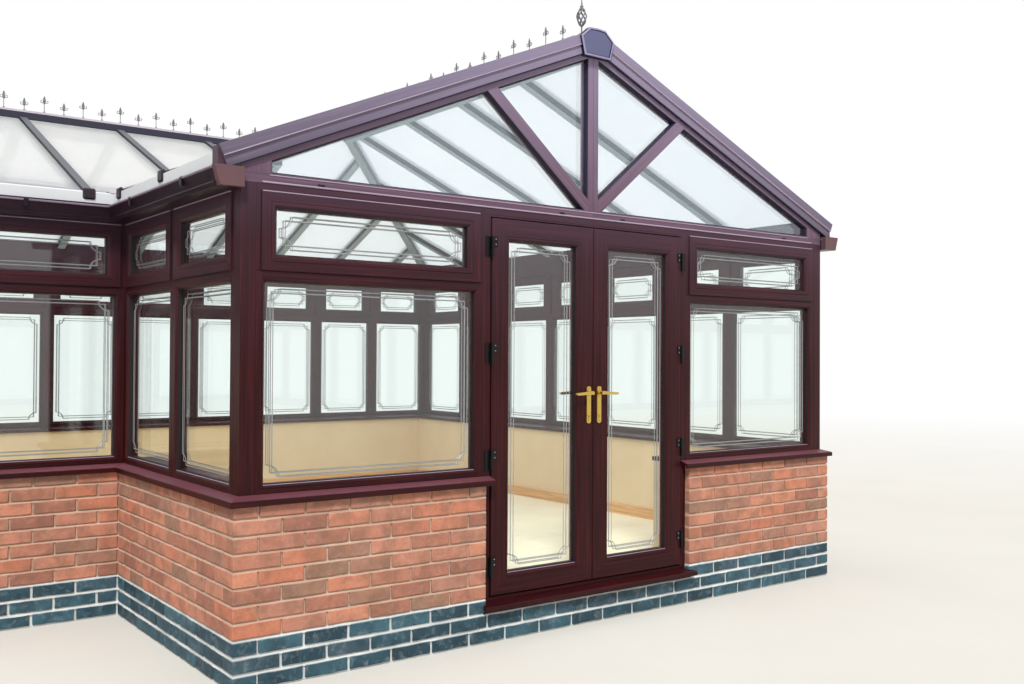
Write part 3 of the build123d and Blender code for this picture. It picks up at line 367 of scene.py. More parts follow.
class Look:
    """A procedural material, or the sky, under construction."""

    def __init__(self, name, library=bpy.data.materials, out="OutputMaterial"):
        self.made = library.new(name)
        self.made.use_nodes = True
        self.tree = self.made.node_tree
        self.tree.nodes.clear()
        self.out = self.node(out)

    def node(self, kind, settings=None, **inputs):
        node = self.tree.nodes.new("ShaderNode" + kind)
        for key, value in (settings or {}).items():
            setattr(node, key, value)
        for key, value in inputs.items():
            self.feed(node.inputs[key.replace("_", " ")], value)
        return node

    def feed(self, socket, value):
        if isinstance(value, bpy.types.NodeSocket):
            self.tree.links.new(value, socket)
        else:
            socket.default_value = value

    def coords(self, grain=False, scale=(1, 1, 1)):
        if grain:
            source = self.node("UVMap", {"uv_map": "grain"}).outputs[0]
        else:
            source = self.node("TexCoord").outputs["Object"]
        return self.node("Mapping", Vector=source, Scale=scale).outputs[0]

    def noise(self, vector, scale, detail=4.0, roughness=0.55, distortion=0.0):
        return self.node("TexNoise", Vector=vector, Scale=scale, Detail=detail,
                         Roughness=roughness, Distortion=distortion).outputs["Fac"]

    def ramp(self, fac, stops):
        node = self.node("ValToRGB", Fac=fac)
        node.color_ramp.elements.remove(node.color_ramp.elements[1])
        node.color_ramp.elements[0].position = stops[0][0]
        node.color_ramp.elements[0].color = colour(stops[0][1])
        for place, value in stops[1:]:
            node.color_ramp.elements.new(place).color = colour(value)
        return node.outputs["Color"]

    def mask(self, fac, low, high, level):
        """Nothing below low, rising to a grey level from 0 to 255 at high."""
        return self.ramp(fac, [(low, (0, 0, 0)), (high, (level, level, level))])

    def mix(self, fac, a, b):
        node = self.node("Mix", {"data_type": "RGBA"})
        for place, value in ((6, a), (7, b)):
            linked = isinstance(value, bpy.types.NodeSocket)
            self.feed(node.inputs[place], value if linked else colour(value))
        self.feed(node.inputs[0], fac)
        return node.outputs[2]

    def layer(self, tone, where, share, other):
        """A share of another colour laid over the tone where a mask is."""
        return self.mix(where, tone, self.mix(share, tone, other))

    def maths(self, how, a, b=0.0, c=0.0):
        node = self.node("Math", {"operation": how})
        for place, value in enumerate((a, b, c)):
            self.feed(node.inputs[place], value)
        return node.outputs[0]

    def span(self, value, low, high, least, most):
        return self.node("MapRange", Value=value, From_Min=low, From_Max=high, To_Min=least,
                         To_Max=most).outputs[0]

    def tint(self):
        return self.node("Attribute", {"attribute_name": "tint"}).outputs["Fac"]

    def bump(self, height, strength, distance, normal=None):
        node = self.node("Bump", Height=height, Strength=strength, Distance=distance)
        if normal:
            self.feed(node.inputs["Normal"], normal)
        return node.outputs[0]

    def up(self):
        """How far a face looks up, from -1 to 1."""
        normal = self.node("NewGeometry").outputs["True Normal"]
        return self.node("SeparateXYZ", Vector=normal).outputs["Z"]

    def blend(self, fac, a, b):
        node = self.node("MixShader")
        for place, value in enumerate((fac, a, b)):
            self.feed(node.inputs[place], value)
        return node.outputs[0]

    def principled(self, **inputs):
        return self.finish(self.node("BsdfPrincipled", **inputs).outputs[0])

    def finish(self, shader):
        self.tree.links.new(shader, self.out.inputs["Surface"])
        return self.made


def brick_look(name, tones, speck, warm, dust_and_top_highlight, rough, smears):
    look = Look(name)
    where = look.coords()
    fine = look.noise(where, 90, 6, 0.7)
    grit = look.noise(where, 300, 3, 0.6)
    tone = look.ramp(look.tint(), tones)
    for patches, low, high, level, share, other in (
            (look.noise(where, 11, 3, 0.5, 0.4), 0.4, 0.62, 255, 0.5, speck),
            (look.noise(where, 16, 4, 0.55, 0.3), 0.5, 0.68, 150, 0.6, warm),
            (look.noise(where, 24, 5, 0.6, 0.6), 0.52, 0.76, 215, smears, dust_and_top_highlight),
            (fine, 0.4, 0.72, 190, 0.5, speck), (grit, 0.6, 0.7, 150, 0.6, speck)):
        tone = look.layer(tone, look.mask(patches, low, high, level), share, other)
    # Faces that look up are blended towards the dust tone: partly dust, partly a painted highlight
    # on the bricks' upper arrises.
    tone = look.mix(look.span(look.up(), 0.15, 0.75, 0, 0.6), tone, dust_and_top_highlight)
    bump = look.bump(fine, 0.8, 0.004, look.bump(grit, 0.5, 0.0015))
    return look.principled(Base_Color=tone, Roughness=rough, Normal=bump,
                           Specular_IOR_Level=0.25)


def mortar_look(name, light, dark):
    look = Look(name)
    where = look.coords()
    fine = look.noise(where, 120, 5, 0.7)
    tone = look.mix(look.mask(look.noise(where, 5, 3), 0.3, 0.7, 255), light, dark)
    tone = look.mix(look.mask(fine, 0.4, 0.8, 160), tone, dark)
    return look.principled(Base_Color=tone, Roughness=0.95, Normal=look.bump(fine, 0.7, 0.002))


# How much of the lilac sky colour is laid over the foil from 1.4 m up to 3.4 m: a painted sky
# sheen, stronger near the roof.
SKY_SHEEN_BY_HEIGHT = [(0.0, 0), (0.3, 80), (0.5, 150), (0.75, 202), (1.0, 240)]


def rosewood_look(name, axis=None, tones=((30, 6, 9), (50, 12, 15), (76, 24, 27)), top=None,
                  sky_sheen_share=0.38, sky=(166, 148, 182)):
    """Woodgrain foil on plastic, blended by height towards a lilac sky colour: a painted sky sheen
    that grows towards the roof. Faces that look up can get a painted highlight too. The grain runs
    along a model axis, or with the UV when there is none."""
    look = Look(name)

    def grain(along, across, *settings):
        scale = [along if k == (axis or 0) else across for k in range(3)]
        return look.noise(look.coords(axis is None, scale), 1.0, *settings)

    streak = grain(1.6, 70, 5, 0.62, 0.6)
    pore = grain(9, 420, 3, 0.6)
    tone = look.ramp(streak, list(zip((0.28, 0.5, 0.72), tones)))
    tone = look.layer(tone, look.mask(grain(0.5, 9, 2), 0.3, 0.7, 200), 0.6, tones[0])
    tone = look.mix(look.mask(pore, 0.55, 0.7, 150), tone, tones[0])
    # Painted sky sheen: the tone is blended towards the lilac sky colour by height.
    height = look.node("SeparateXYZ", Vector=look.node("TexCoord").outputs["Object"])
    blend_by_place = look.ramp(look.span(height.outputs["Z"], 1.4, 3.4, 0, 1),
                     [(place, (level, level, level)) for place, level in SKY_SHEEN_BY_HEIGHT])
    tone = look.layer(tone, blend_by_place, sky_sheen_share, sky)
    # Painted highlight: faces that look up are lightened towards the top colour.
    if top:
        tone = look.layer(tone, look.maths("GREATER_THAN", look.up(), 0.8), 0.5, top)
    bump = look.bump(pore, 0.25, 0.0006, look.bump(streak, 0.12, 0.0015))
    return look.principled(Base_Color=tone, Roughness=look.span(streak, 0, 1, 0.33, 0.48),
                           Normal=bump, Specular_IOR_Level=0.16)


def plain_look(name, light, dark, rough, metal=0.0, grit=90):
    look = Look(name)
    where = look.coords()
    fine = look.noise(where, grit, 5, 0.6)
    tone = look.mix(look.noise(where, 4, 4), light, dark)
    tone = look.mix(look.mask(fine, 0.5, 0.8, 120), tone, dark)
    gloss = look.span(fine, 0, 1, rough - 0.06, rough + 0.1)
    return look.principled(Base_Color=tone, Roughness=gloss, Metallic=metal,
                           Specular_IOR_Level=0.3, Normal=look.bump(fine, 0.1, 0.0008))


def lit_top_shaded_side_look(name, cap, side, below, edge=0.8, rough=0.4):
    """Caps of roof members, with painted light: a pale top for a painted sky sheen, darker sides
    for painted shade and an underside tone of their own for the light that reaches it.
    """
    look = Look(name)
    where = look.coords()
    up = look.up()
    fine = look.noise(where, 30, 5, 0.6)
    top = look.layer(cap, look.noise(where, 3, 4), 0.4, side)
    # Painted light by facing: tops get the pale sky sheen colour, faces that look down the
    # underside colour, the rest the shaded side colour.
    tone = look.mix(look.maths("GREATER_THAN", up, edge), side, top)
    tone = look.mix(look.maths("LESS_THAN", up, -0.1), tone, below)
    tone = look.mix(look.mask(fine, 0.5, 0.8, 110), tone, side)
    return look.principled(Base_Color=tone, Roughness=rough, Specular_IOR_Level=0.2,
                           Normal=look.bump(fine, 0.1, 0.001))


def glass_look(name, tint, straight, shine_tint=(255, 255, 255)):
    """Clear glass: light passes through, with a reflection of a given share when seen straight."""
    look = Look(name)
    clear = look.node("BsdfTransparent", Color=colour(tint)).outputs[0]
    shine = look.node("BsdfGlossy", Color=colour(shine_tint), Roughness=0.0).outputs[0]
    facing = look.node("LayerWeight", Blend=0.5).outputs["Facing"]
    amount = look.maths("MULTIPLY_ADD", look.maths("POWER", facing, 5.0), 0.6, straight)
    return look.finish(look.blend(amount, clear, shine))


def sheet_look(name, axis):
    """Opal twin-wall sheet with flutes along a model axis."""
    look = Look(name)
    where = look.node("TexCoord").outputs["Object"]
    across = look.node("SeparateXYZ", Vector=where).outputs[1 - axis]
    flute = look.maths("SINE", look.maths("MULTIPLY", across, 2 * math.pi / 0.016))
    haze = look.mix(look.noise(where, 2.5, 4), (248, 251, 255), (238, 243, 249))
    grime = look.mask(look.noise(where, 14, 6, 0.65), 0.45, 0.8, 120)
    tone = look.mix(look.mask(flute, 0.75, 1.0, 60), look.mix(grime, haze, (222, 230, 236)),
                    (214, 224, 230))
    face = look.node("BsdfPrincipled", Base_Color=tone, Roughness=0.35,
                     Normal=look.bump(flute, 0.25, 0.001)).outputs[0]
    glow = look.node("BsdfTranslucent", Color=tone).outputs[0]
    clear = look.node("BsdfTransparent", Color=(1, 1, 1, 1)).outputs[0]
    return look.finish(look.blend(0.34, look.blend(0.6, face, glow), clear))


def pine_look(name):
    look = Look(name)
    streak = look.noise(look.coords(True, (2, 60, 60)), 1.0, 5, 0.6, 0.8)
    tone = look.ramp(streak, [(0.3, (176, 122, 66)), (0.55, (214, 162, 98)),
                              (0.8, (232, 190, 130))])
    return look.principled(Base_Color=tone, Roughness=0.4, Normal=look.bump(streak, 0.1, 0.001))


RED_TONES = [(0.0, (154, 104, 90)), (0.2, (182, 122, 102)), (0.4, (190, 132, 112)),
             (0.55, (204, 138, 112)), (0.7, (194, 122, 96)), (0.85, (174, 126, 108)),
             (1.0, (148, 116, 98))]
BLUE_TONES = [(0.0, (40, 66, 78)), (0.4, (54, 86, 100)), (0.7, (66, 102, 116)),
              (1.0, (62, 80, 92))]

red_brick = brick_look("red_brick_clay", RED_TONES, (120, 92, 76), (216, 140, 104),
                       (226, 184, 164), 0.9, 0.28)
blue_brick = brick_look("blue_brick_clay", BLUE_TONES, (28, 44, 52), (74, 112, 126),
                        (176, 190, 194), 0.6, 0.42)
mortar = mortar_look("mortar_buff", (202, 176, 156), (166, 138, 118))
pale_mortar = mortar_look("mortar_pale", (222, 224, 222), (178, 182, 182))
wood = rosewood_look("rosewood_foil")
wood_along = [rosewood_look("rosewood_foil_" + "xyz"[axis], axis) for axis in range(3)]
# Sill foil with a painted highlight on its upward faces.
sill_along = [rosewood_look("sill_foil_" + "xy"[axis], axis, top=(126, 76, 88))
              for axis in range(2)]
# The verge bands' lilac grey tones and strong blend towards the sky colour are a painted sky sheen,
# not weathering.
weathered = rosewood_look("verge_foil_sky_sheen", None, ((48, 40, 48), (74, 62, 74), (104, 90, 104)),
                          sky_sheen_share=0.76, sky=(170, 160, 190))
# The gable members' purple grey tones and blend towards the sky colour are a painted sky sheen.
gable_wood_sky_sheen = rosewood_look("gable_foil_sky_sheen", None, ((56, 30, 38), (84, 50, 61), (112, 78, 90)),
                          sky_sheen_share=0.68, sky=(170, 158, 190))
# Pale lilac for painted highlights along the top edges of sashes, beads, gable rails and the verge
# bands.
edge_light = plain_look("foil_edge", (176, 160, 180), (148, 130, 150), 0.4)
gasket = plain_look("gasket_rubber", (22, 20, 24), (10, 10, 12), 0.5)
# Dark navy: painted shade in the gable's bead reveals, and a gasket darkened with painted shadow
# under the verge bands; it also colours the apex rim's edge and groove.
reveal = plain_look("gable_bead", (30, 26, 50), (18, 14, 34), 0.5)
lead = plain_look("leading_strip", (176, 178, 178), (132, 134, 136), 0.4, metal=0.35)
glass = glass_look("window_glass", (251, 254, 253), 0.05)
gable_glass = glass_look("gable_glass", (253, 255, 255), 0.15, (232, 244, 255))
sheet_main = sheet_look("opal_sheet_main", 0)
sheet_wing = sheet_look("opal_sheet_wing", 1)
# Painted light: pale tops for sky sheen, dark sides for shade, and undersides in the tone of the
# light that reaches them.
bar_cap = lit_top_shaded_side_look("bar_cap", (92, 94, 104), (32, 30, 36), (164, 184, 194))
ridge_look = lit_top_shaded_side_look("ridge_cap", (196, 186, 200), (35, 34, 49), (150, 166, 176), 0.85)
gutter = lit_top_shaded_side_look("gutter_plastic_brown", (60, 48, 60), (24, 14, 24), (38, 20, 32), 0.6,
                       0.34)
end_box = plain_look("gutter_box_brown", (108, 78, 82), (82, 58, 64), 0.36)
verge_end = plain_look("verge_end_brown", (84, 60, 74), (60, 42, 54), 0.4)
# Painted highlight along the gutters' rims.
gutter_rim_highlight = plain_look("gutter_rim_highlight", (150, 132, 152), (104, 86, 104), 0.35)
lilac = plain_look("apex_rim", (156, 150, 184), (132, 126, 160), 0.4)
slate = plain_look("apex_panel", (100, 102, 136), (84, 86, 118), 0.36)
grey = plain_look("grey_plastic_weathered", (142, 142, 146), (98, 98, 104), 0.55)
pale_grey = plain_look("cresting_base", (206, 200, 208), (170, 162, 172), 0.5)
opal_trim = plain_look("opal_trim", (220, 223, 226), (204, 208, 212), 0.35)
dark_cap = plain_look("bar_end_plastic", (50, 38, 45), (32, 23, 29), 0.4)
brass = plain_look("polished_brass", (222, 194, 108), (186, 154, 74), 0.26, metal=0.9)
black = plain_look("black_hinge", (20, 20, 22), (8, 8, 9), 0.34, metal=0.3)
steel = plain_look("steel_screw", (190, 190, 194), (120, 120, 124), 0.3, metal=1.0)
plaster = plain_look("cream_plaster", (226, 204, 168), (210, 184, 146), 0.85, grit=30)
floor_tile = plain_look("cream_tile", (244, 234, 210), (230, 216, 188), 0.4, grit=40)
grout = plain_look("tile_grout", (176, 164, 142), (140, 130, 112), 0.9)
pine = pine_look("skirting_pine")

# Looks of the CAD nodes that stay in view, with the width in millimetres of their bevels

NODE_LOOKS = (
    (pale_mortar, 0, "plinth_front_and_rear plinth_sides"),
    (mortar, 0, "wall_front wall_left_end wall_rear wall_return wall_right wall_wing_front"),
    (grout, 0, "floor_main floor_wing"),
    (sill_along[0], 2, "cills_front_and_rear"), (sill_along[1], 2, "cills_sides"),
    (wood_along[0], 4, "window_boards_front_and_rear"), (wood_along[1], 4, "window_boards_sides"),
    (wood_along[2], 3, "corner_posts"), (wood_along[0], 2, "door_cill"),
    (wood_along[0], 0, "eaves_beams_rear_and_wing"), (wood_along[1], 0, "eaves_beams_sides"),
    (glass, 0, "fanlight_panes window_panes door_pane_left door_pane_right"),
    (gable_glass, 0, "gable_panes"),
    (sheet_main, 0, "roof_sheets_main"), (sheet_wing, 0, "roof_sheets_wing"),
    (bar_cap, 2, "glazing_bars_main glazing_bars_wing"),
    (ridge_look, 2, "ridge_caps"), (ridge_look, 0, "hip_and_valley link_hip"),
    (gutter, 0, "gutters_rear_and_wing gutters_sides"), (end_box, 4, "gutter_end_boxes"),
    (lilac, 2, "apex_plates"), (grey, 0, "ridge_cresting finials"),
    (black, 0, "jamb_hinges door_hinges_left door_hinges_right"),
    (brass, 2, "handle_plates_left handle_plates_right"), (brass, 3, "lever_left lever_right"),
)


def dress_nodes():
    rows = {name: (look, width) for look, width, names in NODE_LOOKS for name in names.split()}
    for name, piece in frame["nodes"].items():
        look, width = rows.get(name, (wood, 0))
        piece.data.materials.clear()
        piece.data.materials.append(look)
        if width:
            soften(piece, "bevel", width * MM)


# Brickwork

BRICK_OUT = 0.008
BURIED = 0.004
END_DEPTH = {"own": 0.1025, "jamb": 0.027}
END_PROUD = {"own": BRICK_OUT, "jamb": 0.001}


def wander(reach):
    return seed.uniform(-reach, reach)


def brick(pile, place, u0, u1, z0, z1, bared):
    """A worn brick standing out of the wall; bared is how deep each of its ends goes in."""
    cells = 5 if u1 - u0 > 0.15 else 3
    out = BRICK_OUT + wander(0.0008)
    tint = seed.random()
    grid = {}
    for i in range(cells + 1):
        for j, z in enumerate((z0, (z0 + z1) / 2, z1)):
            a = wander(0.0012 if i in (0, cells) else 0.006)
            b = wander(0.004 if j == 1 else 0.0014)
            grid[i, j] = (u0 + (u1 - u0) * i / cells + a, -out + wander(0.0007), z + b)
    for i in range(cells):
        for j in range(2):
            pile.add(place, [grid[p] for p in corners(i, i + 1, j, j + 1)], None, tint)
    rim = [(i, 0) for i in range(cells)] + [(cells, j) for j in range(2)]
    rim += [(i, 2) for i in range(cells, 0, -1)] + [(0, j) for j in (2, 1)]
    for a, b in loop(rim):
        p, q = grid[a], grid[b]
        end = 0 if a[0] == b[0] == 0 else 1 if a[0] == b[0] == cells else None
        deep = max(bared) if end is None else bared[end]
        pile.add(place, [q, p, (p[0], deep, p[2]), (q[0], deep, q[2])], None, tint)


def lay_course(pile, place, start, end, first, last, joint, z):
    """One course between two ends; an end is "own", "other", "inner" or "jamb"."""
    run = end - start + (0 if "inner" in (first, last) else joint)
    n = round(run / HALF_BRICK)
    half_unit = run / n
    low = 1 if first == "other" else 0
    high = n - 1 if last == "other" else n
    u = start + low * half_unit + (joint if first == "inner" else 0)
    count = high - low
    sizes = [2] * (count // 2)
    if count % 2:
        sizes.insert(0 if first in ("inner", "jamb") else len(sizes), 1)
    for i, size in enumerate(sizes):
        kinds = (first if i == 0 else "", last if i == len(sizes) - 1 else "")
        proud = [END_PROUD.get(kind, 0) for kind in kinds]
        bared = [END_DEPTH.get(kind, BURIED) for kind in kinds]
        brick(pile, place, u - proud[0], u + size * half_unit - joint + proud[1], z,
              z + COURSE - joint, bared)
        u += size * half_unit


def pointing(pile, place, start, end, first, last, z0, z1):
    """The mortar of a bed joint, struck so that it slopes out to the brick below."""
    shift = {"outer": -1, "inner": 1, "jamb": 0}
    count = max(1, round((end - start) / 0.07))
    rows = []
    for k in range(count + 1):
        u = start + (end - start) * k / count
        slant = shift[first] if k == 0 else shift[last] * -1 if k == count else 0
        inside = 0 < k < count
        wave = wander(0.0016) if inside else 0
        proud = 0.0062 + (seed.uniform(-0.0016, 0.0012) if inside else 0)
        rows.append(((u, 0.001, z1 - 0.003 + wave), (u + slant * proud, -proud, z0 + 0.001 + wave),
                     (u + slant * proud, -proud, z0 - 0.004)))
    for a, b in zip(rows, rows[1:]):
        for j in range(2):
            pile.add(place, (b[j], a[j], a[j + 1], b[j + 1]))


def bed_joints(first, last, joint, look, name, slot):
    pile = Pile()
    for side in SIDES.values():
        ends = ("outer" if side.starts else "inner", "outer" if side.ends else "inner")
        for k in range(first, last):
            z0, z1 = k * COURSE - joint / 2, k * COURSE + joint / 2
            for stretch in stretches(side, *ends, k > 2):
                pointing(pile, side.place, *stretch, z0, z1)
    pile.make(name, [look], slot)


def bricks(first, last, joint, look, name, slot):
    pile = Pile()
    for side in SIDES.values():
        for k in range(first, last):
            kinds = ("own", "other") if k % 2 else ("other", "own")
            ends = (kinds[0] if side.starts else "inner", kinds[1] if side.ends else "inner")
            for stretch in stretches(side, *ends, k > 1):
                lay_course(pile, side.place, *stretch, joint, k * COURSE + joint / 2)
    soften(pile.make(name, [look], slot, smooth=60), "worn_edges", 0.0042, 50)


def brickwork():
    bed_joints(1, 4, 0.014, pale_mortar, "plinth_bed_joints", "blue_brick")
    bed_joints(4, 11, 0.010, mortar, "wall_bed_joints", "red_brick")
    bricks(0, 3, 0.014, blue_brick, "plinth_bricks", "blue_brick")
    bricks(3, 11, 0.010, red_brick, "wall_bricks", "red_brick")


# Glazed walls

WOOD, RUBBER = 0, 1


def profile(outer, inner, back, rubber):
    """Points at the outer edge, at the glass edge and at the back, each (inset, depth); rubber
    lists the places in the whole profile where a gasket begins."""
    points = [(0, *p) for p in outer] + [(1, *p) for p in inner] + [(0, *p) for p in back]
    return [(*p, RUBBER if k in rubber else WOOD) for k, p in enumerate(points)]


FRAME_PROFILE = profile(
    [(0, 40), (0, 30), (2, 28)],
    [(-21, 28), (-19.5, 29.6), (-18, 28), (-13, 28.4), (-2.5, 41), (-2.5, 44), (2, 52), (2, 58),
     (2, 82), (-2, 86), (-13, 95), (-16, 98)],
    [(2, 98), (0, 96)], (7, 8, 9, 11))
SASH_PROFILE = profile(
    [(1, 30), (0, 22), (3, 18)],
    [(-34, 18), (-32, 20.2), (-30, 18), (-15, 18.4), (-2.5, 32), (-2.5, 36), (2, 43), (2, 48),
     (2, 72), (-2, 76), (-14, 84), (-17, 86)],
    [(3, 86), (1, 84)], (7, 8, 9, 11))
LEAF_PROFILE = profile(
    [(1, 32), (0, 24), (3, 20)],
    [(-26, 20), (-24, 22.2), (-22, 20), (-14, 20.4), (-2.5, 34), (-2.5, 38), (2, 45), (2, 50),
     (2, 74), (-2, 77), (-13, 81), (-16, 83)],
    [(8, 83), (6, 81)], (7, 8, 9, 11))
DOOR_FRAME_PROFILE = profile(
    [(0, 60), (0, 30), (2, 28)],
    [(-12, 28), (-10.5, 29.6), (-9, 28), (-2, 28), (0, 30), (0, 86), (6, 86), (6, 88), (18, 88),
     (18, 98)],
    [(2, 98), (0, 96)], (8, 9))
FANLIGHT_PROFILE = profile(
    [(0, 40), (0, 30), (2, 28)], [(-2, 28), (0, 30), (0, 96), (-2, 98)], [(2, 98), (0, 96)], ())

# Face widths (left, right, foot, top) of the window frames and of the fanlights' sashes
LOWER = (0.052, 0.052, 0.042, 0.050)
SASH = (0.078, 0.078, 0.075, 0.075)
SASH_INSET, SASH_HEAD, SASH_TALL = 0.025, 0.037, 0.355
LEAD_HALF, LEAD_RISE = 0.0024, 0.0012
ARC_STEPS = 6
HINGES, HINGE_TALL = 4, 0.0525


def side_bays(name):
    side = SIDES[name]
    if name == "front":
        return [(FRAME_BACK, PIER), (side.length - PIER, side.length - FRAME_BACK)]
    start = FRAME_BACK if side.starts else -FRAME_SET
    end = side.length - FRAME_BACK if side.ends else side.length + FRAME_SET
    pitch = (end - start) / BAYS[name]
    return [(start + k * pitch, start + (k + 1) * pitch) for k in range(BAYS[name])]


def inside(outer, widths):
    """The rectangle left by a frame of given face widths."""
    return [edge + sign * width for edge, width, sign in zip(outer, widths, (1, -1, 1, -1))]


def leading(pile, place, pane, depths, outer=0.027, inner=0.046, notch=0.055):
    """The two leaded lines on both faces of a pane: a notched outer line, a square inner one."""
    u0, u1, z0, z1 = pane
    path = []
    for cu, cz, su, sz in ((u0, z0, 1, 1), (u1, z0, -1, 1), (u1, z1, -1, -1), (u0, z1, 1, -1)):
        turns = [math.pi / 2 * t / ARC_STEPS for t in range(ARC_STEPS + 1)]
        arc = [(cu + su * outer + su * notch * math.sin(t),
                cz + sz * outer + sz * notch * math.cos(t)) for t in turns]
        path += arc if su == sz else arc[::-1]
    square = corners(u0 + inner, u1 - inner, z0 + inner, z1 - inner)
    for v, rise in zip(depths, (-LEAD_RISE, LEAD_RISE)):
        pile.ribbon(place, path, v, LEAD_HALF, rise)
        pile.ribbon(place, square, v, LEAD_HALF, rise)


def bead_highlight_line(pile, place, pane, depth):
    """A painted highlight: the pale edge of the bead under a pane, where it catches the sky."""
    u0, u1, z0, _ = pane
    pile.box(place, (u0 - 0.003, depth - 0.0035, z0 - 0.0055), (u1 + 0.003, depth, z0 - 0.0025),
             0.0008, 2)


def glazed_walls():
    leads, slots = Pile(), Pile()
    foot = HEAD - SASH_HEAD - SASH_TALL
    for name, side in SIDES.items():
        place = side.place
        frames, sashes = Pile(), Pile()
        for u0, u1 in side_bays(name):
            tint = seed.random()
            window = (u0, u1, SILL, foot)
            frames.ring(place, window, LOWER, FRAME_PROFILE, tint)
            bead_highlight_line(frames, place, inside(window, LOWER), 0.041)
            frames.ring(place, (u0, u1, foot, HEAD), (SASH_INSET, SASH_INSET, 0.006, SASH_HEAD),
                        FANLIGHT_PROFILE, tint)
            sash = (u0 + SASH_INSET, u1 - SASH_INSET, foot, foot + SASH_TALL)
            sashes.ring(place, sash, SASH, SASH_PROFILE, tint)
            # A painted highlight along the top of each sash.
            sashes.box(place, (sash[0] + 0.004, 0.0165, sash[3] - 0.001),
                       (sash[1] - 0.004, 0.0275, sash[3] + 0.004), 0.0015, 2)
            leading(leads, place, inside(window, LOWER), (0.058, 0.082))
            leading(leads, place, inside(sash, SASH), (0.048, 0.072))
            for part in (0.25, 0.75):
                middle = u0 + (u1 - u0) * part
                slots.box(place, (middle - 0.016, 0.0266, SILL + 0.011),
                          (middle + 0.016, 0.030, SILL + 0.017), 0.001)
        frames.make("frame_rings_" + name, [wood, gasket, edge_light], "rosewood_plastic",
                    replaces="frame_" + name)
        sashes.make("sash_rings_" + name, [wood, gasket, edge_light], "rosewood_plastic",
                    replaces="fanlight_sashes" if name == "front" else None)
    leads.make("leaded_lines", [lead], "black_metal")
    slots.make("drain_slots", [gasket], "black_metal")


def front_rectangle(name):
    """A CAD node's outline as (u0, u1, z0, z1) of the front."""
    low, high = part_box(name)
    return (low[0] - INNER, high[0] - INNER, low[2], high[2])


def doors():
    place = SIDES["front"].place
    centre = SIDES["front"].length / 2
    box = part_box("door_frame")
    pile = Pile()
    pile.ring(place, (centre - DOOR, centre + DOOR, box[0][2], box[1][2]),
              (0.045, 0.045, 0.023, 0.045), DOOR_FRAME_PROFILE)
    pile.make("door_frame_ring", [wood, gasket], "rosewood_plastic", replaces="door_frame")
    for hand in ("left", "right"):
        body = "leaf_" + hand
        edges, pane = front_rectangle("door_" + body), front_rectangle("door_pane_" + hand)
        widths = [abs(a - b) for a, b in zip(edges, pane)]
        leaf, lines = Pile(), Pile()
        leaf.ring(place, edges, widths, LEAF_PROFILE, 0.4)
        bead_highlight_line(leaf, place, pane, 0.034)
        leaf.make("leaf_ring_" + hand, [wood, gasket, edge_light], "rosewood_plastic", body,
                  "door_leaf_" + hand)
        leading(lines, place, pane, (0.050, 0.074))
        lines.make("leaf_leading_" + hand, [lead], "black_metal", body)
        details(hand, body)


def details(hand, body):
    """Screws in the handle plates and hinges, and the key cylinder."""
    low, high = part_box("handle_plates_" + hand)
    x, y = (low[0] + high[0]) / 2, low[1]
    pile, screws = Pile(), Pile()
    pile.disc(x, low[2] + 0.045, 0.0085, y - 0.003, y + 0.002, 14)
    pile.box(as_is, (x - 0.0045, y - 0.003, low[2] + 0.018),
             (x + 0.0045, y + 0.001, low[2] + 0.042), 0.001)
    pile.disc(x, high[2] - 0.035, 0.0165, y - 0.006, y + 0.001, 20)
    pile.make("lock_cylinder_" + hand, [brass], "brass", body)
    for z in (low[2] + 0.012, high[2] - 0.010):
        screws.disc(x, z, 0.0032, y - 0.0012, y + 0.001, 10)
    low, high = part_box("door_hinges_" + hand)
    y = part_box("door_leaf_" + hand)[0][1] - 0.004
    x = low[0] + 0.012 if hand == "right" else high[0] - 0.012
    step = (high[2] - low[2] - HINGE_TALL) / (HINGES - 1)
    for k in range(HINGES):
        for z in (0.012, 0.040):
            screws.disc(x, low[2] + k * step + z, 0.0035, y - 0.001, y + 0.001, 10)
    screws.make("screws_" + hand, [steel], "black_metal", body)


# Gables

GABLE_RAIL, GABLE_SIDE, GABLE_UNDER = 0.045, 0.073, 0.086
KING_HALF, STRUT_WIDE, STRUT_FOOT, STRUT_HEAD = 0.036, 0.061, 0.010, 0.698
FASCIA_DROP, FASCIA_RISE, FASCIA_OVER = 0.058, 0.060, 0.058
BAND_FOOT = FASCIA_RISE - 0.057
VERGE_BACK = 0.094
# How far short of the middle the verge's bands and cap stop, under the apex plate
BAND_STOP, CAP_STOP = 0.09, 0.03
LEVEL, UPRIGHT, RAKE = (1, 0), (0, 1), (1, PITCH)
# The gable beads' dark rows are painted shade in the reveals round the panes.
BEAD_ROWS = [(0.0, 0.0295, 0), (0.002, 0.0305, 1), (0.009, 0.043, 1), (0.009, 0.046, 1),
             (0.012, 0.0575, 1)]
APEX_ROWS = [(0.0, 0.028, 1), (0.0, -0.007, 0), (0.003, -0.010, 0), (0.011, -0.010, 1),
             (0.0125, -0.004, 1), (0.0145, -0.004, 0), (0.0165, -0.008, 0)]


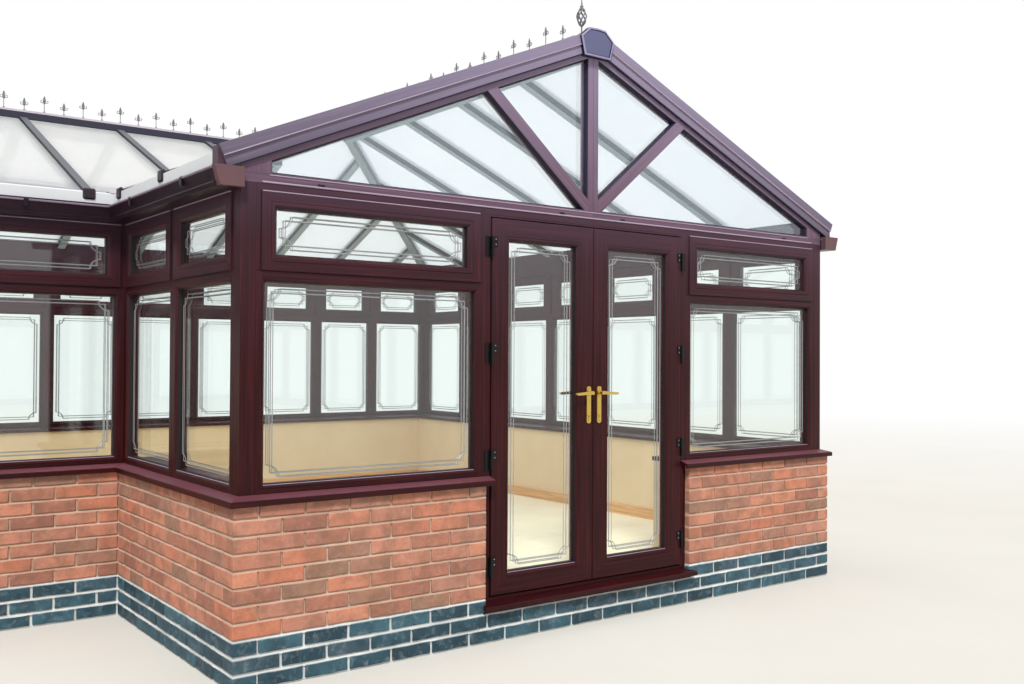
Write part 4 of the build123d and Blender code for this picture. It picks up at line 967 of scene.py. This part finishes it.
def gable(side, frames, beads, bands, caps):
    half = side.length / 2
    foot = HEAD + GABLE_RAIL
    post = FRAME_BACK + GABLE_SIDE
    king = half - KING_HALF

    def rake(u, height=0.0):
        return (u, EAVES + PITCH * u + height)

    def under(u):
        return rake(u, -GABLE_UNDER)

    head = half - STRUT_HEAD * side.length / SIDES["front"].length
    low = half - STRUT_FOOT
    rise = under(head)[1] - foot
    lean = (head - low) / rise
    cut = STRUT_WIDE / 2 * math.hypot(head - low, rise) / rise
    fall = foot - EAVES + GABLE_UNDER
    outer_head, inner_head = ((low + edge - lean * fall) / (1 - lean * PITCH)
                              for edge in (-cut, cut))
    meeting = foot + (king - low - cut) / lean
    members = (
        (corners(FRAME_SET, half, HEAD, foot), LEVEL),
        ([(FRAME_SET, foot), (post, foot), under(post), under(FRAME_SET)], UPRIGHT),
        ([under(FRAME_SET), under(half), rake(half), rake(FRAME_SET)], RAKE),
        ([(king, foot), (half - 0.001, foot), under(half - 0.001), under(king)], UPRIGHT),
        ([(low - cut, foot), (king, foot), (king, meeting), under(inner_head),
          under(outer_head)], (lean, 1)))
    # Painted highlights: the light line on the rail's top and the bead on its foot
    lines = (
        ((post - 0.01, 0.0255, foot - 0.010), (half, 0.0285, foot - 0.005), 0.001),
        ((post - 0.045, 0.0235, HEAD + 0.001), (half, 0.0285, HEAD + 0.009), 0.002))
    # The two bands of the verge, a light bead between them that is a painted highlight, and a thin
    # dark drip under them that is partly a gasket and partly painted shadow
    verge_bands = ((BAND_FOOT, FASCIA_RISE, 0.006, 0), (-FASCIA_DROP, BAND_FOOT, 0.014, 0),
                   (BAND_FOOT - 0.003, BAND_FOOT + 0.003, 0.0045, 1),
                   (-FASCIA_DROP, -FASCIA_DROP + 0.007, 0.0115, 2))
    fascia_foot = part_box("gable_fascias")[0][2]
    for flip in (False, True):

        def at(u, v, z, flip=flip):
            return side.place(side.length - u if flip else u, v, z)

        for outline, grain in members:
            frames.slab(at, outline, FRAME_SET, FRAME_BACK, grain)
        for near, far, bevel in lines:
            frames.box(at, near, far, bevel, 1)
        for u in (half - 0.226, post + 0.245):
            frames.box(at, (u - 0.019, 0.0245, HEAD + 0.012), (u + 0.019, 0.0285, HEAD + 0.020),
                       0.002, 2)
        for hole in ([(post, foot), (low - cut, foot), under(outer_head), under(post)],
                     [(king, meeting), under(king), under(inner_head)]):
            beads.bead(at, hole, BEAD_ROWS, True)
        for bottom, top, front, number in verge_bands:
            outline = rake_band(half - BAND_STOP, bottom, top)
            bands.slab(at, above(outline, fascia_foot), front, 0.0275, RAKE, number)
        verge(caps, at, half, fascia_foot)


def square_end(height):
    """The lower end of a line above the rake, on a cut that is square to the rake."""
    over = FASCIA_OVER + PITCH * height / (1 + PITCH * PITCH)
    return (-over, EAVES - PITCH * over + height)


def rake_band(stop, low, high):
    """A band between two heights above the rake, from its square lower end up to a place."""
    return [square_end(low), (stop, EAVES + PITCH * stop + low),
            (stop, EAVES + PITCH * stop + high), square_end(high)]


def above(outline, level):
    """The part of a (u, z) outline that lies above a level."""
    kept = []
    for a, b in loop(outline):
        if a[1] >= level:
            kept.append(a)
        if (a[1] < level) != (b[1] < level):
            share = (level - a[1]) / (b[1] - a[1])
            kept.append((a[0] + (b[0] - a[0]) * share, level))
    return kept


def verge(pile, place, half, fascia_foot):
    """The cap over the sheets behind the verge bands, closed by a tapered block at the eaves."""
    for low, high, v0, v1 in ((SHEET, FASCIA_RISE - 0.008, 0.0277, 0.092),
                              (FASCIA_RISE - 0.008, FASCIA_RISE - 0.002, 0.034, 0.084)):
        pile.slab(place, rake_band(half - CAP_STOP, low, high), v0, v1, RAKE)
    top = square_end(FASCIA_RISE - 0.004)
    foot = square_end(-FASCIA_DROP)
    block = [(foot[0] + 0.02, fascia_foot), (top[0] + 0.045, top[1]), top, (top[0], fascia_foot)]
    pile.slab(place, block, 0.0278, VERGE_BACK, UPRIGHT, 1)


def ridge_top(side):
    """The height of the ridge cap's top over a gabled side."""
    return EAVES + PITCH * side.length / 2 + SHEET + RIDGE_CAP


def apex(name):
    """The apex plate: a pale bevelled rim round a slate panel."""
    side = SIDES[name]
    middle, top = side.length / 2, ridge_top(side) + 0.003
    outline = [(middle + u, top - fall) for u, fall in (
        (-0.095, 0.164), (0.095, 0.164), (0.122, 0.060), (0.058, 0.004), (0, 0), (-0.058, 0.004),
        (-0.122, 0.060))]
    rim, panel = Pile(), Pile()
    rings = rim.bead(side.place, outline, APEX_ROWS)
    panel.add(side.place, [(p.x, rings[-1][1], p.y) for p in rings[-1][0]])
    rim.add(side.place, [(p.x, rings[0][1], p.y) for p in reversed(rings[0][0])])
    rim.make("apex_rim_" + name, [lilac, reveal], "grey_plastic",
             replaces="apex_plates" if name == "front" else None)
    panel.make("apex_panel_" + name, [slate], "grey_plastic")


def gables():
    frames, beads, bands, caps = Pile(), Pile(), Pile(), Pile()
    for name in ("front", "left_end"):
        gable(SIDES[name], frames, beads, bands, caps)
        apex(name)
    frames.make("gable_members", [gable_wood_sky_sheen, edge_light, reveal], "rosewood_plastic",
                replaces="gable_frames")
    beads.make("gable_beads", [gable_wood_sky_sheen, reveal], "rosewood_plastic")
    bands.make("gable_bands", [weathered, edge_light, reveal], "rosewood_plastic",
               replaces="gable_fascias")
    caps.make("verge_caps", [gutter, verge_end], "gutter_plastic")


# Cresting and finials

# Points (across, above the neck) of the two curls on each side of a spike's head
CURLS = (((0, 0.004), (0.010, 0.012), (0.020, 0.010), (0.025, 0.018), (0.021, 0.027),
          (0.015, 0.024)),
         ((0, 0.002), (0.008, 0.020), (0.007, 0.034)))
NECK_DROP = 0.056
SPIKES = (0.098, 0.128)
CREST_SET, CREST_STOP = 0.193, 0.042
FINIAL_SET = 0.133


def fleur(x, tall):
    """The outline of a fleur-headed spike as runs of points in its own plane."""
    neck = tall - NECK_DROP
    runs = [[(x, 0.0), (x, tall - 0.004)]]
    for sign in (-1, 1):
        outer, inner = ([(x + sign * across, neck + z) for across, z in curl] for curl in CURLS)
        runs += [outer, inner + [(x, tall)]]
    return runs


def cresting():
    """Cast cresting on both ridges, spaced back from the roof node at its end."""
    front, left_end = SIDES["front"], SIDES["left_end"]
    ridge_y = REAR - left_end.length / 2
    main_z, wing_z = ridge_top(front), ridge_top(left_end)
    main_end = REAR - front.length / 2 - CREST_STOP
    wing_end = INNER + left_end.length / 2 - CREST_STOP
    strips, spikes = Pile(), Pile()
    # pitch is between the spikes, tail from the last one to the strip's end
    for place, start, end, pitch, tail in (
            (lambda a, b, c: (b, a, c + main_z), FRONT + CREST_SET, main_end, 0.159, 0.086),
            (lambda a, b, c: (a, ridge_y + b, c + wing_z), LEFT + CREST_SET, wing_end, 0.129,
             0.018)):
        strips.box(place, (start, -0.008, 0), (end, 0.008, 0.014), 0.002, 1)
        for k in range(int((end - start - tail - 0.052) / pitch) + 1):
            u, tall = end - tail - k * pitch, SPIKES[k % 2]
            spikes.rods([[place(a, 0.0, c) for a, c in run] for run in fleur(u, tall)],
                        lambda t: 0.0026, 5)
            strips.box(place, (u - 0.006, -0.006, 0.012), (u + 0.006, 0.006, 0.022), 0.002)
            strips.box(place, (u - 0.008, -0.0025, tall - 0.040),
                       (u + 0.008, 0.0025, tall - 0.018), 0.002)
    strips.make("cresting_strips", [grey, pale_grey], "grey_plastic", replaces="ridge_cresting")
    spikes.make("cresting_spikes", [grey], "grey_plastic")
    finial(front, "finial_front", "finials")
    finial(left_end, "finial_end")


def finial(side, name, replaced=None):
    """A twisted basket on a foot, with a pointed spike on top."""
    centre = Vector(side.place(side.length / 2, FINIAL_SET, ridge_top(side)))
    basket, spike, foot = Pile(), Pile(), Pile()
    runs = [[centre, centre + Vector((0, 0, 0.052))]]
    for k in range(6):
        run = []
        for t in (i / 12 for i in range(13)):
            radius = 0.004 + 0.023 * math.sin(math.pi * t) ** 0.8
            angle = 2 * math.pi * k / 6 + 0.8 * math.pi * t
            run.append(centre + Vector((radius * math.cos(angle), radius * math.sin(angle),
                                        0.050 + 0.106 * t)))
        runs.append(run)
    basket.rods(runs, lambda t: 0.0044)
    basket.make(name + "_basket", [grey], "grey_plastic", replaces=replaced)
    spike.rods([[centre + Vector((0, 0, 0.152 + 0.079 * k / 8)) for k in range(9)]],
               lambda t: (0.0008 + 0.006 * (1 - t) ** 1.2
                          + 0.005 * math.exp(-((t - 0.14) / 0.08) ** 2)), 10)
    spike.make(name + "_spike", [grey], "grey_plastic")
    foot.box(lambda a, b, c: (centre.x + a, centre.y + b, centre.z + c), (-0.015, -0.015, 0),
             (0.015, 0.015, 0.008), 0.003)
    foot.make(name + "_foot", [grey], "grey_plastic")


# Roof trim, gutters and interior

MAIN_BARS = 7
WING_PITCH, WING_FIRST = 0.645, 0.2
BAR_HALF = 0.034
CLOSURE_DROP = 0.065


def bar_end(pile, spot, axis, sign):
    """The cap on a bar that falls along an axis to an eaves line, sign being the way down."""
    z = EAVES - PITCH * (OVERHANG + 0.006) + SHEET
    low = [p - BAR_HALF for p in (*spot, z)]
    high = [spot[0] + BAR_HALF, spot[1] + BAR_HALF, z + 0.028]
    edge = spot[axis] + sign * (OVERHANG + 0.014)
    low[axis], high[axis] = sorted((edge, edge - sign * 0.024))
    pile.box(as_is, low, high, 0.008)


def bar_ends():
    """Caps that close the lower ends of the glazing bars over the gutter."""
    pile = Pile()
    pitch = (REAR - FRONT - 2 * FRAME_BACK) / MAIN_BARS
    for k in range(1, MAIN_BARS):
        y = FRONT + FRAME_BACK + k * pitch
        for x, sign in ((INNER, -1), (RIGHT, 1)):
            if x == RIGHT or y <= WING - 0.1:
                bar_end(pile, (x, y), 0, sign)
    before = int((INNER - WING_FIRST - LEFT - FRAME_SET - FRAME_BACK - 0.03) / WING_PITCH)
    for k in range(-before, 7):
        x = INNER - WING_FIRST + k * WING_PITCH
        for y, sign in ((WING, -1), (REAR, 1)):
            if x <= (INNER if y == WING else RIGHT) - 0.15:
                bar_end(pile, (x, y), 1, sign)
    pile.make("bar_end_caps", [dark_cap], "gutter_plastic")


def eaves_runs(gable_end, corner):
    """Each side with eaves, and where a run along them starts and ends: set back from a gable,
    past an outer corner and short of the inner one."""
    for name, first, last in (("right", gable_end, corner), ("rear", -corner, -gable_end),
                              ("wing_front", gable_end, -corner),
                              ("return", corner, -gable_end)):
        yield SIDES[name].place, first, SIDES[name].length + last


def sheet_ends():
    """The closures that cap the sheets' lower edges along the eaves."""
    pile = Pile()
    low, high = EAVES - CLOSURE_DROP, EAVES - PITCH * OVERHANG + SHEET + 0.003
    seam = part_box("gutters_sides")[1][2] + 0.014
    face, back, lip = -OVERHANG - 0.004, -OVERHANG - 0.001, -OVERHANG + 0.020
    lip_top = high + PITCH * 0.024
    upper = [(face, seam), (face, high), (lip, lip_top), (lip, lip_top - 0.0028),
             (back, high - 0.003), (back, seam)]
    lower = [(face - 0.001, low), (face - 0.001, seam), (back, seam), (back, low)]
    for place, first, last in eaves_runs(VERGE_BACK, OVERHANG):
        pile.strip(place, upper, first, last)
        pile.strip(place, lower, first, last, 1)
    pile.make("sheet_end_closures", [opal_trim, gutter], "gutter_plastic")


def gutter_trim():
    """Rim and foot beads along the gutters, with a bracket about every 0.9 m."""
    pile = Pile()
    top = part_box("gutters_sides")[1][2]
    for place, first, last in eaves_runs(0.020, 0.106):
        # The pale rim bead is a painted highlight along the gutter's top edge.
        pile.box(place, (first, -0.110, top - 0.009), (last, -0.098, top + 0.002), 0.003, 1)
        pile.box(place, (first, -0.0985, top - 0.070), (last, -0.094, top - 0.064), 0.0015)
        count = max(1, round((last - first) / 0.9))
        for k in range(count):
            u = first + (last - first) * (k + 0.5) / count
            pile.box(place, (u - 0.014, -0.1115, top - 0.040), (u + 0.014, -0.094, top + 0.004),
                     0.003)
    pile.make("gutter_trim", [gutter, gutter_rim_highlight], "gutter_plastic")


SKIN = 0.010
SKIRTING_TALL = 0.09
TILE, TILE_GAP = 0.33, 0.002


def interior():
    """Plaster and skirting inside the dwarf walls, and a tiled floor."""
    skins, boards, tiles = Pile(), Pile(), Pile()
    for side in SIDES.values():
        place, length = side.place, side.length
        spans = [(WALL if side.starts else -WALL, length - WALL if side.ends else length + WALL)]
        if side is SIDES["front"]:
            spans = [(WALL, PIER), (length - PIER, length - WALL)]
            for jamb, inwards in ((PIER, 1), (length - PIER, -1)):
                near, far = sorted((jamb - inwards * 0.002, jamb + inwards * 0.008))
                skins.box(place, (near, FRAME_BACK + 0.002, FLOOR), (far, WALL + SKIN, WALL_TOP),
                          0.001)
        for u0, u1 in spans:
            skins.box(place, (u0, WALL - 0.002, FLOOR), (u1, WALL + SKIN, WALL_TOP), 0.001)
            boards.box(place, (u0, WALL + 0.008, FLOOR),
                       (u1, WALL + 0.024, FLOOR + SKIRTING_TALL), 0.003)
    main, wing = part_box("floor_main"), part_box("floor_wing")
    doorway = ((-DOOR + 0.008, FRONT + FRAME_BACK + 0.002), (DOOR - 0.008, FRONT + WALL))
    for low, high in (((main[0][0], FRONT + WALL), main[1]), wing, doorway):
        x0, y0, x1, y1 = low[0], low[1], high[0], high[1]
        nx, ny = max(1, round((x1 - x0) / TILE)), max(1, round((y1 - y0) / TILE))
        for i in range(nx):
            for j in range(ny):
                x, y = x0 + (x1 - x0) * i / nx, y0 + (y1 - y0) * j / ny
                tint = seed.random()
                tiles.box(as_is, (x + TILE_GAP, y + TILE_GAP, FLOOR - 0.004),
                          (x + (x1 - x0) / nx - TILE_GAP, y + (y1 - y0) / ny - TILE_GAP,
                           FLOOR + 0.006), 0.0015, 0, tint)
    skins.make("inside_plaster", [plaster], "concrete")
    boards.make("inside_skirting", [pine], "window_board")
    tiles.make("floor_tiles", [floor_tile], "concrete")


# Setting

def camera():
    """The photograph's camera, solved from the wall's corners and courses."""
    yaw, pitch, roll = (math.radians(a) for a in (36.98, 0.76, 0.32))
    ahead = Vector((math.sin(yaw) * math.cos(pitch), math.cos(yaw) * math.cos(pitch),
                    math.sin(pitch)))
    right = Vector((math.cos(yaw), -math.sin(yaw), 0))
    up = right.cross(ahead)
    axes = (math.cos(roll) * right + math.sin(roll) * up,
            -math.sin(roll) * right + math.cos(roll) * up, -ahead)
    data = bpy.data.cameras.new("camera")
    data.lens = 36.07
    data.sensor_width = 36
    eye = link("camera", data)
    turned = Matrix(axes).transposed().to_4x4()
    eye.matrix_world = Matrix.Translation((-3.818, -4.433, 1.474)) @ turned
    bpy.context.scene.camera = eye


def world():
    """White behind the building and in its reflections, dimmer as a light."""
    sky = Look("sky", bpy.data.worlds, "OutputWorld")
    rays = sky.node("LightPath").outputs
    seen = rays["Is Camera Ray"]
    for kind in ("Is Glossy Ray", "Is Transmission Ray"):
        seen = sky.maths("MAXIMUM", seen, rays[kind])
    back = sky.node("Background", Color=(1, 1, 1, 1), Strength=sky.span(seen, 0, 1, 0.62, 1.0))
    bpy.context.scene.world = sky.finish(back.outputs[0])


def lamp(name, kind, energy, **settings):
    data = bpy.data.lights.new(name, kind)
    data.energy = energy
    for key, value in settings.items():
        setattr(data, key, value)
    return link(name, data)


def sun():
    made = lamp("sun_front_left", "SUN", 3.3, angle=math.radians(12), color=(1.0, 0.98, 0.95))
    made.rotation_euler = (math.radians(40), 0, math.radians(-36))


def room_light(name, low, high, energy):
    """A soft light under the roof, for the floor and the walls inside."""
    made = lamp(name, "AREA", energy, shape="RECTANGLE", size=high[0] - low[0],
                size_y=high[1] - low[1])
    made.location = ((low[0] + high[0]) / 2, (low[1] + high[1]) / 2, HEAD + 0.02)
    made.visible_camera = False
    made.visible_glossy = False
    made.visible_transmission = False


def ground():
    """A pale floor that turns white far from the building."""
    reach = 60.0
    mesh = bpy.data.meshes.new("ground")
    mesh.from_pydata([(x, y, -0.001) for x, y in corners(-reach, reach, -reach, reach)], [],
                     [(0, 1, 2, 3)])
    look = Look("ground_plain")
    tone = look.mix(look.noise(look.coords(), 0.6, 4), (214, 212, 206), (204, 202, 196))
    distance = look.node("VectorMath", {"operation": "LENGTH"})
    look.feed(distance.inputs[0], look.node("TexCoord").outputs["Object"])
    face = look.node("BsdfDiffuse", Color=tone).outputs[0]
    white = look.node("Emission", Color=(1, 1, 1, 1), Strength=1.0).outputs[0]
    blend_by_place = look.span(distance.outputs["Value"], 6.0, 22.0, 0, 1)
    mesh.materials.append(look.finish(look.blend(blend_by_place, face, white)))
    link("ground", mesh)


dress_nodes()
brickwork()
glazed_walls()
doors()
gables()
cresting()
bar_ends()
sheet_ends()
gutter_trim()
interior()
camera()
world()
sun()
room_light("room_light_main", (INNER + 0.4, FRONT + 0.4), (RIGHT - 0.4, REAR - 0.4), 44)
room_light("room_light_wing", (LEFT + 0.4, WING + 0.4), (INNER + 0.3, REAR - 0.4), 26)
ground()
bpy.context.scene.view_settings.view_transform = "Standard"
